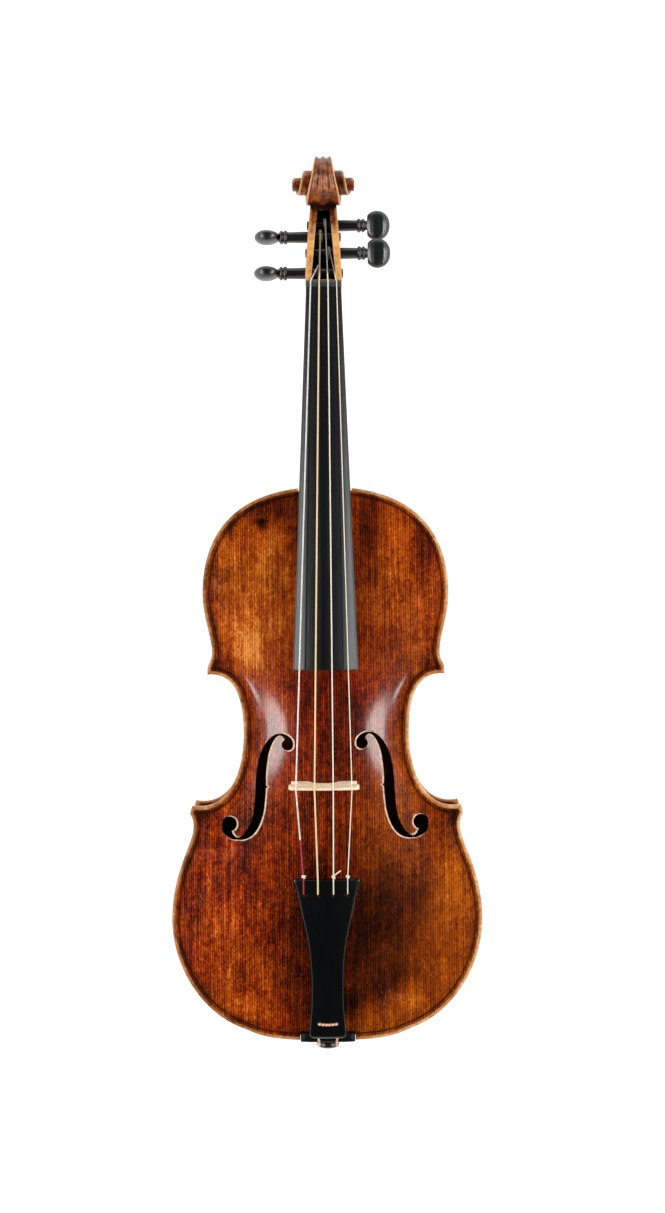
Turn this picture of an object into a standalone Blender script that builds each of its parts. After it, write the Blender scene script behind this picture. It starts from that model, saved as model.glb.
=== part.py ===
"""Baroque violin lying on its back: +Y runs from the end button to the scroll, +Z out of the top."""
import math

import bmesh
import bpy
import numpy as np
from mathutils import Matrix, Vector
from mathutils.bvhtree import BVHTree

MM = 0.001
GAP = 0.3

# Heights of the sound box above the crown of the back
BACK_INSIDE = 18.0
TOP_INSIDE = 48.0
EDGE_THICKNESS = 4.0
TOP_RISE = 11.5
BACK_RISE = 14.25
TOP_WOOD = 3.3
BACK_WOOD = 3.7
CHANNEL_DEPTH = 0.8

# Sound box in plan
BODY_LENGTH = 356.5
CROWN_Y = 177.5
OVERHANG = 2.8
RIB_WOOD = 1.2
LINING_WOOD = 1.9
LINING_HEIGHT = 7.0
LOWER_BLOCK_HALF = 24.0
LOWER_BLOCK_END = 19.0
UPPER_BLOCK_HALF = 26.0
UPPER_BLOCK_START = 334.5
CORNER_BLOCK_REACH = 21.0
BUTTON_RADIUS = 10.6

# Parts inside the sound box
BAR_START = 42.0
BAR_END = 312.0
BAR_HALF = 2.75
POST_X = 19.0
POST_Y = 158.0
POST_RADIUS = 3.0
NAIL_START = 333.0
NAIL_LENGTH = 32.0
# Nail name, place across and above
NAILS = (("left", -7.0, 31.0), ("middle", 0.0, 35.0), ("right", 7.0, 31.0))

# Neck and strings
NECK_ROOT = 354.0
NECK_PLANE = 57.0
NECK_FALL = 0.0215
NUT_FRONT = 483.4
NUT_BACK = 488.2
NUT_HALF = 11.3
BOARD_END = 239.2
BOARD_END_HALF = 20.7
BOARD_END_CROWN = 82.0
BOARD_RADIUS = 42.0
BRIDGE_X = -1.5
BRIDGE_Y = 166.0
NUT_STRING = 60.4
BRIDGE_STRING = 94.5
EYE_Y = 555.9
EYE_Z = 27.0
VOLUTE_STEP = 15.0
VOLUTE_LAP = 24
EYE_HALF = 20.6

# Tail end
TAIL_FRONT = 108.1
TAIL_END = 4.3
TAIL_FRONT_CROWN = 81.2
TAIL_END_CROWN = 63.8
TAIL_RADIUS = 75.0
TAIL_WOOD = 5.0
TAIL_SPREAD = 0.768
HOLE_Y = 98.2
HOLE_RADIUS = 1.35
GUT_Y = 13.9
GUT_X = 6.2
GUT_THICK = 0.75
SADDLE_TOP = 56.8
SADDLE_HALF = 17.5
LOOP_RADIUS = 5.6
BUTTON_Z = 33.0

# String name, place across the nut and the bridge, radius
STRINGS = (("g", -8.35, -17.4, 0.46), ("d", -2.85, -5.8, 0.52), ("a", 2.85, 5.8, 0.4),
           ("e", 8.35, 17.4, 0.31))
# Peg name, side of its head, place along and above, middle of its winding, turns
PEGS = (("g", -1, 495.8, 38.5, -3.4, 3.0), ("d", -1, 521.5, 27.6, -2.0, 3.0),
        ("a", 1, 530.1, 22.6, 1.2, 3.0), ("e", 1, 509.9, 32.6, 3.4, 3.5))
PEG_TURN_STEPS = 12
WINDING_RADIUS = 3.95
COIL_STEPS = 14
COIL_GAP = 0.46

# Half outline of the plates: handles and end of each curve, and the number of its pieces
OUTLINE = (((42.0, 0.0), (44.6, 4.4), (55.2, 8.4), 7), ((81.5, 18.4), (99.9, 48.2), (99.9, 78.4), 8),
           ((99.9, 109.2), (85.8, 126.8), (85.8, 138.5), 7), ((85.8, 141.6), (86.8, 144.6), (88.1, 146.3), 2),
           ((87.6, 148.1), (87.1, 149.9), (86.6, 151.6), 1), ((63.5, 147.1), (53.2, 172.7), (53.2, 198.1), 8),
           ((53.2, 217.8), (57.1, 237.4), (76.3, 235.7), 8), ((76.3, 237.6), (76.3, 239.4), (76.2, 241.3), 1),
           ((74.4, 244.0), (73.3, 247.0), (73.3, 250.0), 2), ((73.3, 259.7), (79.2, 273.4), (79.2, 287.4), 4),
           ((79.2, 324.4), (60.6, BODY_LENGTH), (0.0, BODY_LENGTH), 12))
# The same count of points round the arched middle of the plates
CORE = (((35.0, 8.0), (42.0, 11.0), (50.0, 17.0), 7), ((74.0, 27.0), (91.5, 50.0), (91.5, 79.0), 8),
        ((91.5, 104.0), (77.0, 119.0), (71.0, 133.0), 7), ((70.0, 136.0), (69.0, 138.5), (68.0, 141.0), 2),
        ((67.5, 142.0), (67.0, 143.0), (66.5, 144.2), 1), ((59.0, 158.0), (45.5, 176.0), (45.5, 198.1), 8),
        ((45.5, 212.0), (53.0, 225.0), (58.5, 234.0), 8), ((59.1, 235.0), (59.7, 236.0), (60.3, 237.0), 1),
        ((62.0, 240.0), (63.6, 243.0), (65.0, 246.0), 2), ((69.0, 256.0), (71.2, 272.0), (71.2, 287.0), 4),
        ((71.2, 318.6), (50.0, 347.0), (0.0, 347.0), 12))
LOWER_CORNER = 24
UPPER_CORNER = 41


def clear_scene():
    for thing in list(bpy.data.objects):
        bpy.data.objects.remove(thing, do_unlink=True)


def new_collection(name):
    group = bpy.data.collections.new(name)
    bpy.context.scene.collection.children.link(group)
    return group


def paint(name, colour, roughness, metallic=0.0):
    """One plain Principled material."""
    material = bpy.data.materials.new(name)
    material.use_nodes = True
    surface = material.node_tree.nodes["Principled BSDF"]
    surface.inputs["Base Color"].default_value = (*colour, 1.0)
    surface.inputs["Roughness"].default_value = roughness
    surface.inputs["Metallic"].default_value = metallic
    return material


def add_object(name, data, material, home=None):
    thing = bpy.data.objects.new(name, data)
    (home or VIOLIN).objects.link(thing)
    if material:
        data.materials.append(material)
    return thing


def surface_object(name, points, faces, material, home=None):
    """A mesh from points in millimetres."""
    data = bpy.data.meshes.new(name)
    data.from_pydata([tuple(float(v) * MM for v in point) for point in points], [], faces)
    shape = bmesh.new()
    shape.from_mesh(data)
    bmesh.ops.remove_doubles(shape, verts=shape.verts, dist=1e-6)
    bmesh.ops.recalc_face_normals(shape, faces=shape.faces)
    shape.to_mesh(data)
    shape.free()
    return add_object(name, data, material, home)


def smooth(thing, angle=40.0):
    """Round surfaces shaded smooth, edges sharper than the angle kept."""
    thing.data.shade_smooth()
    thing.data.set_sharp_from_angle(angle=math.radians(angle))
    return thing


def mirrored(thing):
    mirror = thing.modifiers.new("Mirror", "MIRROR")
    mirror.use_axis = (True, False, False)
    mirror.merge_threshold = 1e-5
    return thing


def cut(thing, *cutters):
    for cutter in cutters:
        step = thing.modifiers.new("Cut " + cutter.name, "BOOLEAN")
        step.operation = "DIFFERENCE"
        step.solver = "EXACT"
        step.object = cutter
        cutter.hide_render = True
        cutter.display_type = "WIRE"
    return thing


def as_mesh(drawn, material, home=None):
    """The mesh of a curve object, its caps welded on."""
    bpy.context.view_layer.update()
    graph = bpy.context.evaluated_depsgraph_get()
    data = bpy.data.meshes.new_from_object(drawn.evaluated_get(graph))
    shape = bmesh.new()
    shape.from_mesh(data)
    bmesh.ops.remove_doubles(shape, verts=shape.verts, dist=1e-6)
    bmesh.ops.recalc_face_normals(shape, faces=shape.faces)
    shape.to_mesh(data)
    shape.free()
    name, place = drawn.name, drawn.matrix_world.copy()
    bpy.data.objects.remove(drawn, do_unlink=True)
    thing = add_object(name, data, material, home)
    thing.matrix_world = place
    return thing


def flat_piece(name, outline, low, high, material, home=None):
    """An outline in millimetres drawn as a 2D curve and given its thickness from low to high."""
    curve = bpy.data.curves.new(name, "CURVE")
    curve.dimensions = "2D"
    curve.fill_mode = "BOTH"
    curve.extrude = (high - low) / 2 * MM
    spline = curve.splines.new("POLY")
    spline.points.add(len(outline) - 1)
    for point, (x, y) in zip(spline.points, outline):
        point.co = (x * MM, y * MM, 0.0, 1.0)
    spline.use_cyclic_u = True
    drawn = add_object(name, curve, None, home)
    drawn.location.z = (low + high) / 2 * MM
    return as_mesh(drawn, material, home)


def upright_piece(name, outline, along, half, material, home=None):
    """An outline in X and Z with its thickness along Y."""
    piece = flat_piece(name, outline, -half, half, material, home)
    piece.data.transform(Matrix.Translation((0.0, along * MM, 0.0)) @ Matrix.Rotation(math.pi / 2, 4, "X"))
    return piece


def tube(name, path, radius, material, home=None, fine=2, closed=False):
    """A round wire along a path in millimetres."""
    curve = bpy.data.curves.new(name, "CURVE")
    curve.dimensions = "3D"
    curve.bevel_depth = radius * MM
    curve.bevel_resolution = fine
    curve.use_fill_caps = True
    spline = curve.splines.new("POLY")
    spline.points.add(len(path) - 1)
    for point, spot in zip(spline.points, path):
        point.co = (*(float(v) * MM for v in spot), 1.0)
    spline.use_cyclic_u = closed
    thing = as_mesh(add_object(name, curve, None, home), material, home)
    return smooth(thing, 60.0)


def turned(name, profile, steps, material, home=None):
    """A profile of (distance along X, radius) turned round the X axis."""
    data = bpy.data.meshes.new(name)
    points = [(along * MM, 0.0, radius * MM) for along, radius in profile]
    data.from_pydata(points, [(i, i + 1) for i in range(len(points) - 1)], [])
    thing = add_object(name, data, None, home)
    screw = thing.modifiers.new("Turn", "SCREW")
    screw.axis = "X"
    screw.steps = steps
    screw.render_steps = steps
    screw.use_merge_vertices = True
    screw.merge_threshold = 1e-5
    return smooth(as_mesh(thing, material, home), 50.0)


def box(name, low, high, material, home=None):
    """A block between two corners."""
    data = bpy.data.meshes.new(name)
    shape = bmesh.new()
    bmesh.ops.create_cube(shape, size=1.0)
    for vert in shape.verts:
        vert.co = [(a + (v + 0.5) * (b - a)) * MM for v, a, b in zip(vert.co, low, high)]
    shape.to_mesh(data)
    shape.free()
    return add_object(name, data, material, home)


def rod(name, radius, end_radius, length, sides, material=None, home=None):
    """A round rod or cone along Z about its own middle."""
    data = bpy.data.meshes.new(name)
    shape = bmesh.new()
    bmesh.ops.create_cone(shape, cap_ends=True, segments=sides, depth=length * MM, radius1=radius * MM,
                          radius2=end_radius * MM)
    shape.to_mesh(data)
    shape.free()
    return add_object(name, data, material, home)


def rod_cutter(name, start, end, radius, end_radius=None, sides=20):
    """A round cutter between two points."""
    start, end = Vector(start), Vector(end)
    cutter = rod(name, radius, end_radius or radius, (end - start).length, sides, None, CUTTERS)
    cutter.rotation_mode = "QUATERNION"
    cutter.rotation_quaternion = (end - start).to_track_quat("Z", "Y")
    cutter.location = (start + end) / 2 * MM
    return cutter


# Plan of the sound box
def bezier(start, pieces):
    """Points along joined cubic curves."""
    points = [np.array(start, float)]
    for first, second, end, count in pieces:
        a, b, c, d = points[-1], np.array(first), np.array(second), np.array(end)
        for step in range(1, count + 1):
            t = step / count
            points.append((1 - t) ** 3 * a + 3 * (1 - t) ** 2 * t * b + 3 * (1 - t) * t ** 2 * c + t ** 3 * d)
    return np.array(points)


def inset(line, distance):
    """The line moved to its left, corners mitred."""
    step = np.diff(line, axis=0)
    step /= np.linalg.norm(step, axis=1)[:, None]
    left = np.stack([-step[:, 1], step[:, 0]], axis=1)
    before, after = np.vstack([left[:1], left]), np.vstack([left, left[-1:]])
    mitre = (before + after) / (1 + (before * after).sum(axis=1))[:, None]
    return line + mitre * distance


def edge_distance(points, line):
    """Shortest distance of each point to the line and its mirror image."""
    both = np.vstack([line, line[::-1] * (-1, 1)])
    a, d = both[:-1], np.diff(both, axis=0)
    length = (d * d).sum(axis=1) + 1e-12
    t = np.clip(((points[:, None] - a) * d).sum(axis=2) / length, 0, 1)
    return np.linalg.norm(points[:, None] - (a + t[..., None] * d), axis=2).min(axis=1)


def length_of(line):
    return float(np.linalg.norm(np.diff(line, axis=0), axis=1).sum())


def run(line, start, end):
    """The stretch of a line between two distances along it."""
    steps = np.concatenate([[0], np.cumsum(np.linalg.norm(np.diff(line, axis=0), axis=1))])
    end = steps[-1] + end if end <= 0 else end
    inner = (steps > start + 0.4) & (steps < end - 0.4)
    ends = [[np.interp(s, steps, line[:, axis]) for axis in (0, 1)] for s in (start, end)]
    return np.vstack([ends[:1], line[inner], ends[1:]])


def meet(first, second):
    """Where the end of one line, drawn on, crosses the start of the next; both trimmed there."""
    a = np.vstack([first, first[-1] + 3 * (first[-1] - first[-2])])
    b = np.vstack([second[0] - 3 * (second[1] - second[0]), second])
    for i in range(len(a) - 2, -1, -1):
        for j in range(len(b) - 1):
            p, r, q, s = a[i], a[i + 1] - a[i], b[j], b[j + 1] - b[j]
            cross = r[0] * s[1] - r[1] * s[0]
            t = ((q - p)[0] * s[1] - (q - p)[1] * s[0]) / cross
            u = ((q - p)[0] * r[1] - (q - p)[1] * r[0]) / cross
            if 0 <= t <= 1 and 0 <= u <= 1:
                spot = p + t * r
                return np.vstack([a[:i + 1], spot]), np.vstack([spot, b[j + 1:]])
    return first, second


def bout_lines(distance):
    """Lower, centre and upper bout lines drawn in from the outline, meeting at the corners."""
    lower = inset(EDGE[:LOWER_CORNER + 1], distance)
    centre = inset(EDGE[LOWER_CORNER + 1:UPPER_CORNER], distance)
    upper = inset(EDGE[UPPER_CORNER:], distance)
    lower, centre = meet(lower, centre)
    centre, upper = meet(centre, upper)
    lower[0, 0] = upper[-1, 0] = 0.0
    return lower, centre, upper


# Arched plates
def arch(points):
    """Share of the full arch height at points in plan."""
    along = np.clip((points[:, 1] - MIDDLE[0, 1]) / (MIDDLE[-1, 1] - MIDDLE[0, 1]), 0, 1)
    lengthwise = (1 - np.abs(2 * along - 1) ** 3) ** 1.5
    width = np.interp(points[:, 1], MIDDLE[:, 1], MIDDLE[:, 0]) + 1e-6
    across = np.clip(1 - (points[:, 0] / width) ** 2, 0, 1) ** 1.7
    return lengthwise * across


def outer_height(points, rise):
    """Height of a plate's outside over its glue plane."""
    channel = CHANNEL_DEPTH * np.exp(-((edge_distance(points, EDGE) - 6.0) / 2.6) ** 2)
    return np.minimum(EDGE_THICKNESS + rise * arch(points) - channel, BACK_INSIDE)


def inner_height(points, rise, wood):
    deep = edge_distance(points, EDGE) > 6.8
    return np.where(deep, np.maximum(outer_height(points, rise) - wood, 0.0), 0.0)


def surface_height(piece, x, y, start, way):
    """Height where a vertical line from the start height first meets a piece."""
    bpy.context.view_layer.update()
    if piece not in SURFACES:
        SURFACES[piece] = BVHTree.FromObject(piece, bpy.context.evaluated_depsgraph_get())
    spot = SURFACES[piece].ray_cast((x * MM, y * MM, start * MM), (0.0, 0.0, way))[0]
    return spot.z / MM


def grid_faces(rows, columns):
    """Faces between rows of points that are listed one after another."""
    corners = [r * columns + i for r in range(rows - 1) for i in range(columns - 1)]
    return [(a, a + 1, a + columns + 1, a + columns) for a in corners]


def ring_faces(rings, count):
    """Faces between closed rings of points that are listed one after another, and the two end caps."""
    faces = []
    for a in range(0, (rings - 1) * count, count):
        for i in range(count):
            j = (i + 1) % count
            faces.append((a + i, a + j, a + count + j, a + count + i))
    return faces + [tuple(range(count)), tuple((rings - 1) * count + i for i in range(count))]


def plate(name, level, side, rise, wood, material):
    """Half an arched plate: rings from the spine inside, round the edge, back to the spine outside."""
    spine = np.stack([MIDDLE[:, 0] * 0, BODY_LENGTH / 2 + (MIDDLE[:, 1] - BODY_LENGTH / 2) * 0.78], axis=1)
    rim = inset(EDGE, 2.0)
    rim[[0, -1], 0] = 0.0
    rings = []
    for share in (1.0, 0.5, 0.0):
        ring = MIDDLE + (spine - MIDDLE) * share
        rings.append((ring, inner_height(ring, rise, wood)))
    for distance, height in ((0.6, 0.0), (0.0, 0.6), (0.0, 2.5), (0.7, 3.7)):
        rings.append((inset(EDGE, distance), np.full(len(EDGE), height)))
    for share in (0.0, 0.4, 1.0):
        ring = rim + (MIDDLE - rim) * share
        rings.append((ring, outer_height(ring, rise)))
    for share in (0.3, 0.62, 0.9, 1.0):
        ring = MIDDLE + (spine - MIDDLE) * share
        rings.append((ring, outer_height(ring, rise)))
    points = []
    for ring, height in rings:
        ring[[0, -1], 0] = 0.0
        points += [(x, y, level + side * z) for (x, y), z in zip(ring, height)]
    thing = surface_object(name, points, grid_faces(len(rings), len(EDGE)), material)
    fix_outward(thing, side)
    return mirrored(smooth(thing, 50.0))


def fix_outward(thing, side):
    """Faces of an open half turned so that its outside points out."""
    shape = bmesh.new()
    shape.from_mesh(thing.data)
    high = max(shape.faces, key=lambda face: face.calc_center_median().z * side)
    if high.normal.z * side < 0:
        bmesh.ops.reverse_faces(shape, faces=shape.faces)
    shape.to_mesh(thing.data)
    shape.free()


def round_eye(x, y, radius, start, end):
    """Points round an eye of an f-hole, from one angle to another in degrees."""
    angles = np.radians(np.linspace(start, end, 12))
    return [np.array((x + radius * math.cos(a), y + radius * math.sin(a))) for a in angles]


def f_hole(side, label):
    """Cutter for one f-hole: the curved stem with its nick, run into a round eye at each end."""
    path = bezier((22.6, 192.2), (((22.8, 195.2), (25.4, 197.9), (28.7, 198.0), 4),
                                  ((33.4, 197.7), (38.0, 189.5), (39.7, 180.6), 6),
                                  ((40.9, 173.5), (41.0, 170.0), (41.1, 164.6), 3),
                                  ((41.2, 161.0), (41.4, 158.5), (41.8, 154.3), 2),
                                  ((42.5, 143.5), (47.0, 131.6), (56.2, 131.1), 7),
                                  ((60.0, 131.2), (63.6, 135.6), (63.8, 139.6), 4)))
    half = np.interp(np.arange(len(path)), (0, 1, 2, 4, 6, 10, 13, 16, 19, 20, 22, 23, 25, 26),
                     (2.6, 2.2, 1.5, 0.6, 1.3, 2.9, 3.4, 3.25, 2.7, 2.2, 0.6, 1.3, 2.9, 2.2))
    across = inset(path, 1.0) - path
    inner, outer = path - across * half[:, None], path + across * half[:, None]
    lower = round_eye(61.4, 140.5, 4.75, -10.0, 252.0)
    upper = round_eye(23.7, 191.4, 3.6, 165.0, 420.0)
    outline = [*with_nick(inner)[2:], *lower, *outer[24::-1], *upper]
    # The left hole stands a little lower and further out than the right one
    placed = [((x - side) * side, y + side * 0.5) for x, y in outline]
    return flat_piece("cut_f_" + label, placed, TOP_INSIDE - 2, TOP_INSIDE + 22, None, CUTTERS)


def with_nick(line):
    """The inner side of the stem with the small notch that marks the bridge's place."""
    middle = len(line) // 2
    notch = [line[middle] + step for step in ((0.0, 0.9), (-1.3, 0.0), (0.0, -0.9))]
    return [*line[:middle], *notch, *line[middle + 1:]]


def make_plates():
    top = plate("top_plate", TOP_INSIDE, 1, TOP_RISE, TOP_WOOD, SPRUCE)
    cut(top, f_hole(-1, "left"), f_hole(1, "right"))
    low, high = TOP_INSIDE - 8, TOP_INSIDE + 12
    half, start = board_half(NECK_ROOT) + 3 * GAP, NECK_ROOT - GAP
    cut(top, box("cut_neck_notch", (-half, start, low), (half, BODY_LENGTH + 5, high), None, CUTTERS))
    half = SADDLE_HALF + GAP
    cut(top, box("cut_saddle_notch", (-half, -2, low), (half, 6.1, high), None, CUTTERS))
    back = plate("back_plate", BACK_INSIDE, -1, BACK_RISE, BACK_WOOD, MAPLE)
    around = np.linspace(0, math.pi, 13)
    turn = [(BUTTON_RADIUS * math.cos(a), BODY_LENGTH + 2 + BUTTON_RADIUS * math.sin(a)) for a in around]
    outline = [(BUTTON_RADIUS, BODY_LENGTH - 4), *turn, (-BUTTON_RADIUS, BODY_LENGTH - 4)]
    button = flat_piece("button_form", outline, BACK_INSIDE - BACK_WOOD, BACK_INSIDE - 0.05, None, CUTTERS)
    button.hide_render = True
    button.display_type = "WIRE"
    join = back.modifiers.new("Button", "BOOLEAN")
    join.operation = "UNION"
    join.solver = "EXACT"
    join.object = button
    return top, back


# Ribs, linings and blocks
def strip_outline(outer, inner, side):
    return [(x * side, y) for x, y in [*outer, *inner[::-1]]]


def make_ribs():
    outside, inside = bout_lines(OVERHANG), bout_lines(OVERHANG + RIB_WOOD)
    low, high = BACK_INSIDE + GAP, TOP_INSIDE - GAP
    ends = ((0.15, -0.2), (0.2, -0.2), (0.2, -0.15))
    for side, label in ((-1, "left"), (1, "right")):
        for part, (start, end), outer, inner in zip(("lower", "centre", "upper"), ends, outside, inside):
            outline = strip_outline(run(outer, start, end), run(inner, start, end), side)
            rib = smooth(flat_piece("%s_rib_%s" % (part, label), outline, low, high, MAPLE))
            if part == "lower":
                cut(rib, BUTTON_BORE)
            if part == "upper":
                cut(rib, *NAIL_BORES)


def both_sides(half):
    """A half outline with its mirror image, points on the middle line kept once."""
    return [(x, y) for x, y in half] + [(-x, y) for x, y in half[::-1] if abs(x) > 0.01]


def make_blocks():
    lines = bout_lines(OVERHANG + RIB_WOOD + GAP)
    low, high = BACK_INSIDE + GAP, TOP_INSIDE - GAP
    lower = run(lines[0], 0, LOWER_BLOCK_HALF)
    half = [*lower, (lower[-1][0], LOWER_BLOCK_END)]
    block = flat_piece("lower_block", both_sides(half), low, high, WILLOW)
    cut(block, BUTTON_BORE)
    upper = run(lines[2], length_of(lines[2]) - UPPER_BLOCK_HALF, 0)
    half = [(upper[0][0], UPPER_BLOCK_START), *upper]
    block = flat_piece("upper_block", both_sides(half), low, high, WILLOW)
    cut(block, *NAIL_BORES)
    for side, label in ((-1, "left"), (1, "right")):
        for part, first, second in (("lower", lines[0], lines[1]), ("upper", lines[1], lines[2])):
            start = length_of(first) - CORNER_BLOCK_REACH
            outline = [*run(first, start, -0.1), *run(second, 0.1, CORNER_BLOCK_REACH)]
            name = "%s_corner_block_%s" % (part, label)
            flat_piece(name, [(x * side, y) for x, y in outline], low, high, WILLOW)


def make_linings():
    outer = bout_lines(OVERHANG + RIB_WOOD + GAP)
    inner = bout_lines(OVERHANG + RIB_WOOD + GAP + LINING_WOOD)
    lower, corner, upper = LOWER_BLOCK_HALF + 0.6, CORNER_BLOCK_REACH + 0.6, UPPER_BLOCK_HALF + 0.6
    ends = ((lower, -corner), (corner, -corner), (corner, -upper))
    levels = (("top", TOP_INSIDE - GAP - LINING_HEIGHT, TOP_INSIDE - GAP),
              ("back", BACK_INSIDE + GAP, BACK_INSIDE + GAP + LINING_HEIGHT))
    for side, label in ((-1, "left"), (1, "right")):
        for part, (start, end), out in zip(("lower", "centre", "upper"), ends, outer):
            strip = run(out, start, end)
            outline = strip_outline(strip, inset(strip, LINING_WOOD), side)
            for level, low, high in levels:
                smooth(flat_piece("%s_lining_%s_%s" % (part, level, label), outline, low, high, WILLOW))


def make_bass_bar():
    """A tapered bar following the inside of the top under the bass side of the bridge."""
    points = []
    stations = np.linspace(BAR_START, BAR_END, 19)
    for share, y in zip(np.linspace(0.0, 1.0, len(stations)), stations):
        x = -16.5 + (y - BRIDGE_Y) * 0.018
        depth = 2.5 + 8.5 * math.sin(math.pi * share) ** 0.8
        across = (-BAR_HALF, 0.0, BAR_HALF)
        high = min(surface_height(TOP, x + side, y, BUTTON_Z, 1.0) for side in across) - GAP
        points += [(x - BAR_HALF, y, high), (x + BAR_HALF, y, high)]
        points += [(x + BAR_HALF * 0.6, y, high - depth), (x - BAR_HALF * 0.6, y, high - depth)]
    surface_object("bass_bar", points, ring_faces(len(stations), 4), SPRUCE_BARE)


def make_sound_post():
    """A dowel standing between top and back behind the treble foot of the bridge."""
    around = np.linspace(0, 2 * math.pi, 12, endpoint=False)
    rim = [(POST_X + POST_RADIUS * math.cos(a), POST_Y + POST_RADIUS * math.sin(a)) for a in around]
    high = min(surface_height(TOP, *spot, BUTTON_Z, 1.0) for spot in rim) - GAP
    low = max(surface_height(BACK, *spot, BUTTON_Z, -1.0) for spot in rim) + GAP
    post = rod("sound_post", POST_RADIUS, POST_RADIUS, high - low, 12, SPRUCE_BARE)
    post.location = (POST_X * MM, POST_Y * MM, (high + low) / 2 * MM)
    smooth(post)


# Neck, pegbox and scroll in one piece
def neck_top(y):
    return NECK_PLANE - (y - NECK_ROOT) * NECK_FALL


def board_half(y):
    return NUT_HALF + (BOARD_END_HALF - NUT_HALF) * (NUT_FRONT - y) / (NUT_FRONT - BOARD_END)


def spiral(turn):
    """Point of the volute in side view; the turn in degrees runs from +Y over +Z."""
    radius = 19.1 * 0.71 ** (turn / 180.0)
    if turn < 0:
        radius *= 1 + 0.13 * math.sin(math.radians(turn)) ** 2
    radius = max(radius, 4.1)
    angle = math.radians(turn)
    return np.array((EYE_Y + radius * math.cos(angle), EYE_Z + radius * math.sin(angle)))


def scroll_half(turn):
    """Half width of the scroll: narrow over the crest, flaring at the chin, widening to the eye."""
    turns, halves = (-90, 0, 70, 126, 180, 360, 540, 640), (6.9, 5.45, 7.2, 10.3, 11.5, 13.0, 17.0, 18.8)
    return float(np.interp(turn, turns, halves))


def neck_sections():
    """Rows of half sections: front middle, front edge, five points round the side, back middle."""
    rows = []
    for y in (NECK_ROOT, 360.0, 367.0, 370.0, 374.0, 380.0, 388.0, 398.0, 425.0, 455.0, 474.0):
        top, half = neck_top(y), board_half(y)
        free = min(max((y - 367.0) / 30.0, 0.0), 1.0)
        slim = 14.6 - 1.4 * (y - 398.0) / 76.0
        floor = BACK_INSIDE + GAP + (top - slim - BACK_INSIDE - GAP) * (1 - (1 - free) ** 2.6)
        bend = 0.42 + 0.58 * min(free * 1.6, 1.0)
        row = [(0.0, y, top), (half, y, top)]
        for a in np.radians((16, 34, 52, 66, 79)):
            row.append((half * math.cos(a) ** bend, y, top - (top - floor) * math.sin(a)))
        rows.append(row + [(0.0, y, floor)])
    return rows


def head_row(front, back, half, hollow, round_back, flute):
    """One half section of pegbox or scroll between a front and a back point in side view."""
    f, b = np.array(front, float), np.array(back, float)
    reach = (b - f) / np.linalg.norm(b - f)
    low, high = f + reach * 0.9, b - reach * round_back
    spots = [(0.0, f), (half - 0.02, low - reach * 0.9)]
    for share, deep in ((0.3, hollow), (0.68, hollow * 0.9)):
        spots.append((half - deep, low + (high - low) * share))
    spots += [(half, high), (half - round_back, b), (half * 0.5, b - reach * flute), (0.0, b)]
    return [(x, *spot) for x, spot in spots]


def head_rows():
    """Half sections of the pegbox, then round the volute; also the row of the chin."""
    rows = []
    box_rows = (((482.0, neck_top(482)), (484.0, 37.0), 11.5, 3.5),
                ((488.4, 54.0), (489.5, 30.0), 11.75, 3.0), ((495.0, 50.5), (496.0, 25.2), 11.7, 2.4),
                ((507.0, 43.8), (506.0, 20.6), 11.1, 2.0), ((520.0, 36.6), (516.5, 16.2), 10.4, 1.8),
                ((532.0, 29.9), (525.5, 12.4), 9.6, 1.6))
    for front, back, half, round_back in box_rows:
        rows.append(head_row(front, back, half, 0.0, round_back, 0.1))
    chin = len(rows)
    turns = [195.0 + VOLUTE_STEP * step for step in range(5)]
    backs = ((533.5, 8.7), (538.6, 6.1), (543.4, 3.9), (547.8, 2.3), (552.0, 1.5))
    for turn, back, half in zip(turns, backs, (8.8, 8.5, 8.2, 7.9, 7.6)):
        rows.append(head_row(spiral(turn), back, half, 0.4, 1.5, 0.5))
    for step in range(2 * VOLUTE_LAP + 1):
        turn = -90.0 + VOLUTE_STEP * step
        rows.append(head_row(spiral(turn + 360), spiral(turn), scroll_half(turn), 0.9, 0.6, 0.9))
    return rows, chin


def wound_loft(rows, chin):
    """Points and faces through the sections; past one lap each new side starts on the edge of the last."""
    points, index = [], {}
    for k, row in enumerate(rows):
        wound = k - chin - VOLUTE_LAP
        for column, spot in enumerate(row):
            if column == 5 and wound >= 0:
                index[k, 5] = index[k - VOLUTE_LAP, 1]
            elif (column > 0 or k <= chin) and (column < 7 or wound < 0) and (column != 6 or wound <= 0):
                index[k, column] = len(points)
                points.append(spot)
    index[chin + VOLUTE_LAP, 7] = index[chin, 0]
    faces = []
    for k in range(len(rows) - 1):
        first = 1 if k >= chin else 0
        past = 5 if k >= chin + VOLUTE_LAP else 7
        for column in range(first, past):
            corners = ((k, column), (k + 1, column), (k + 1, column + 1), (k, column + 1))
            faces.append(tuple(index[corner] for corner in corners))
    faces.append((index[chin, 1], index[chin + VOLUTE_LAP, 6], index[chin, 0]))
    faces.append(tuple(index[0, column] for column in range(8)))
    return points, faces, index


def close_eye(points, faces, index, last, chin):
    """The round boss of the eye, raised over the end of the last turn."""
    rim, start = [], last - VOLUTE_LAP
    for k in range(start, last):
        y, z = spiral(-90.0 + VOLUTE_STEP * (k - chin - 5) + 720)
        rim.append(len(points))
        points.append((EYE_HALF - 0.5, EYE_Y + (y - EYE_Y) * 0.95, EYE_Z + (z - EYE_Z) * 0.95))
    for i, k in enumerate(range(start, last)):
        faces.append((index[k, 1], index[k + 1, 1], rim[(i + 1) % VOLUTE_LAP], rim[i]))
    faces.append((index[start, 1], *(index[last, column] for column in (4, 3, 2, 1)), rim[0]))
    points.append((EYE_HALF, EYE_Y, EYE_Z))
    for i in range(VOLUTE_LAP):
        faces.append((rim[i], rim[(i + 1) % VOLUTE_LAP], len(points) - 1))


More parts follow.
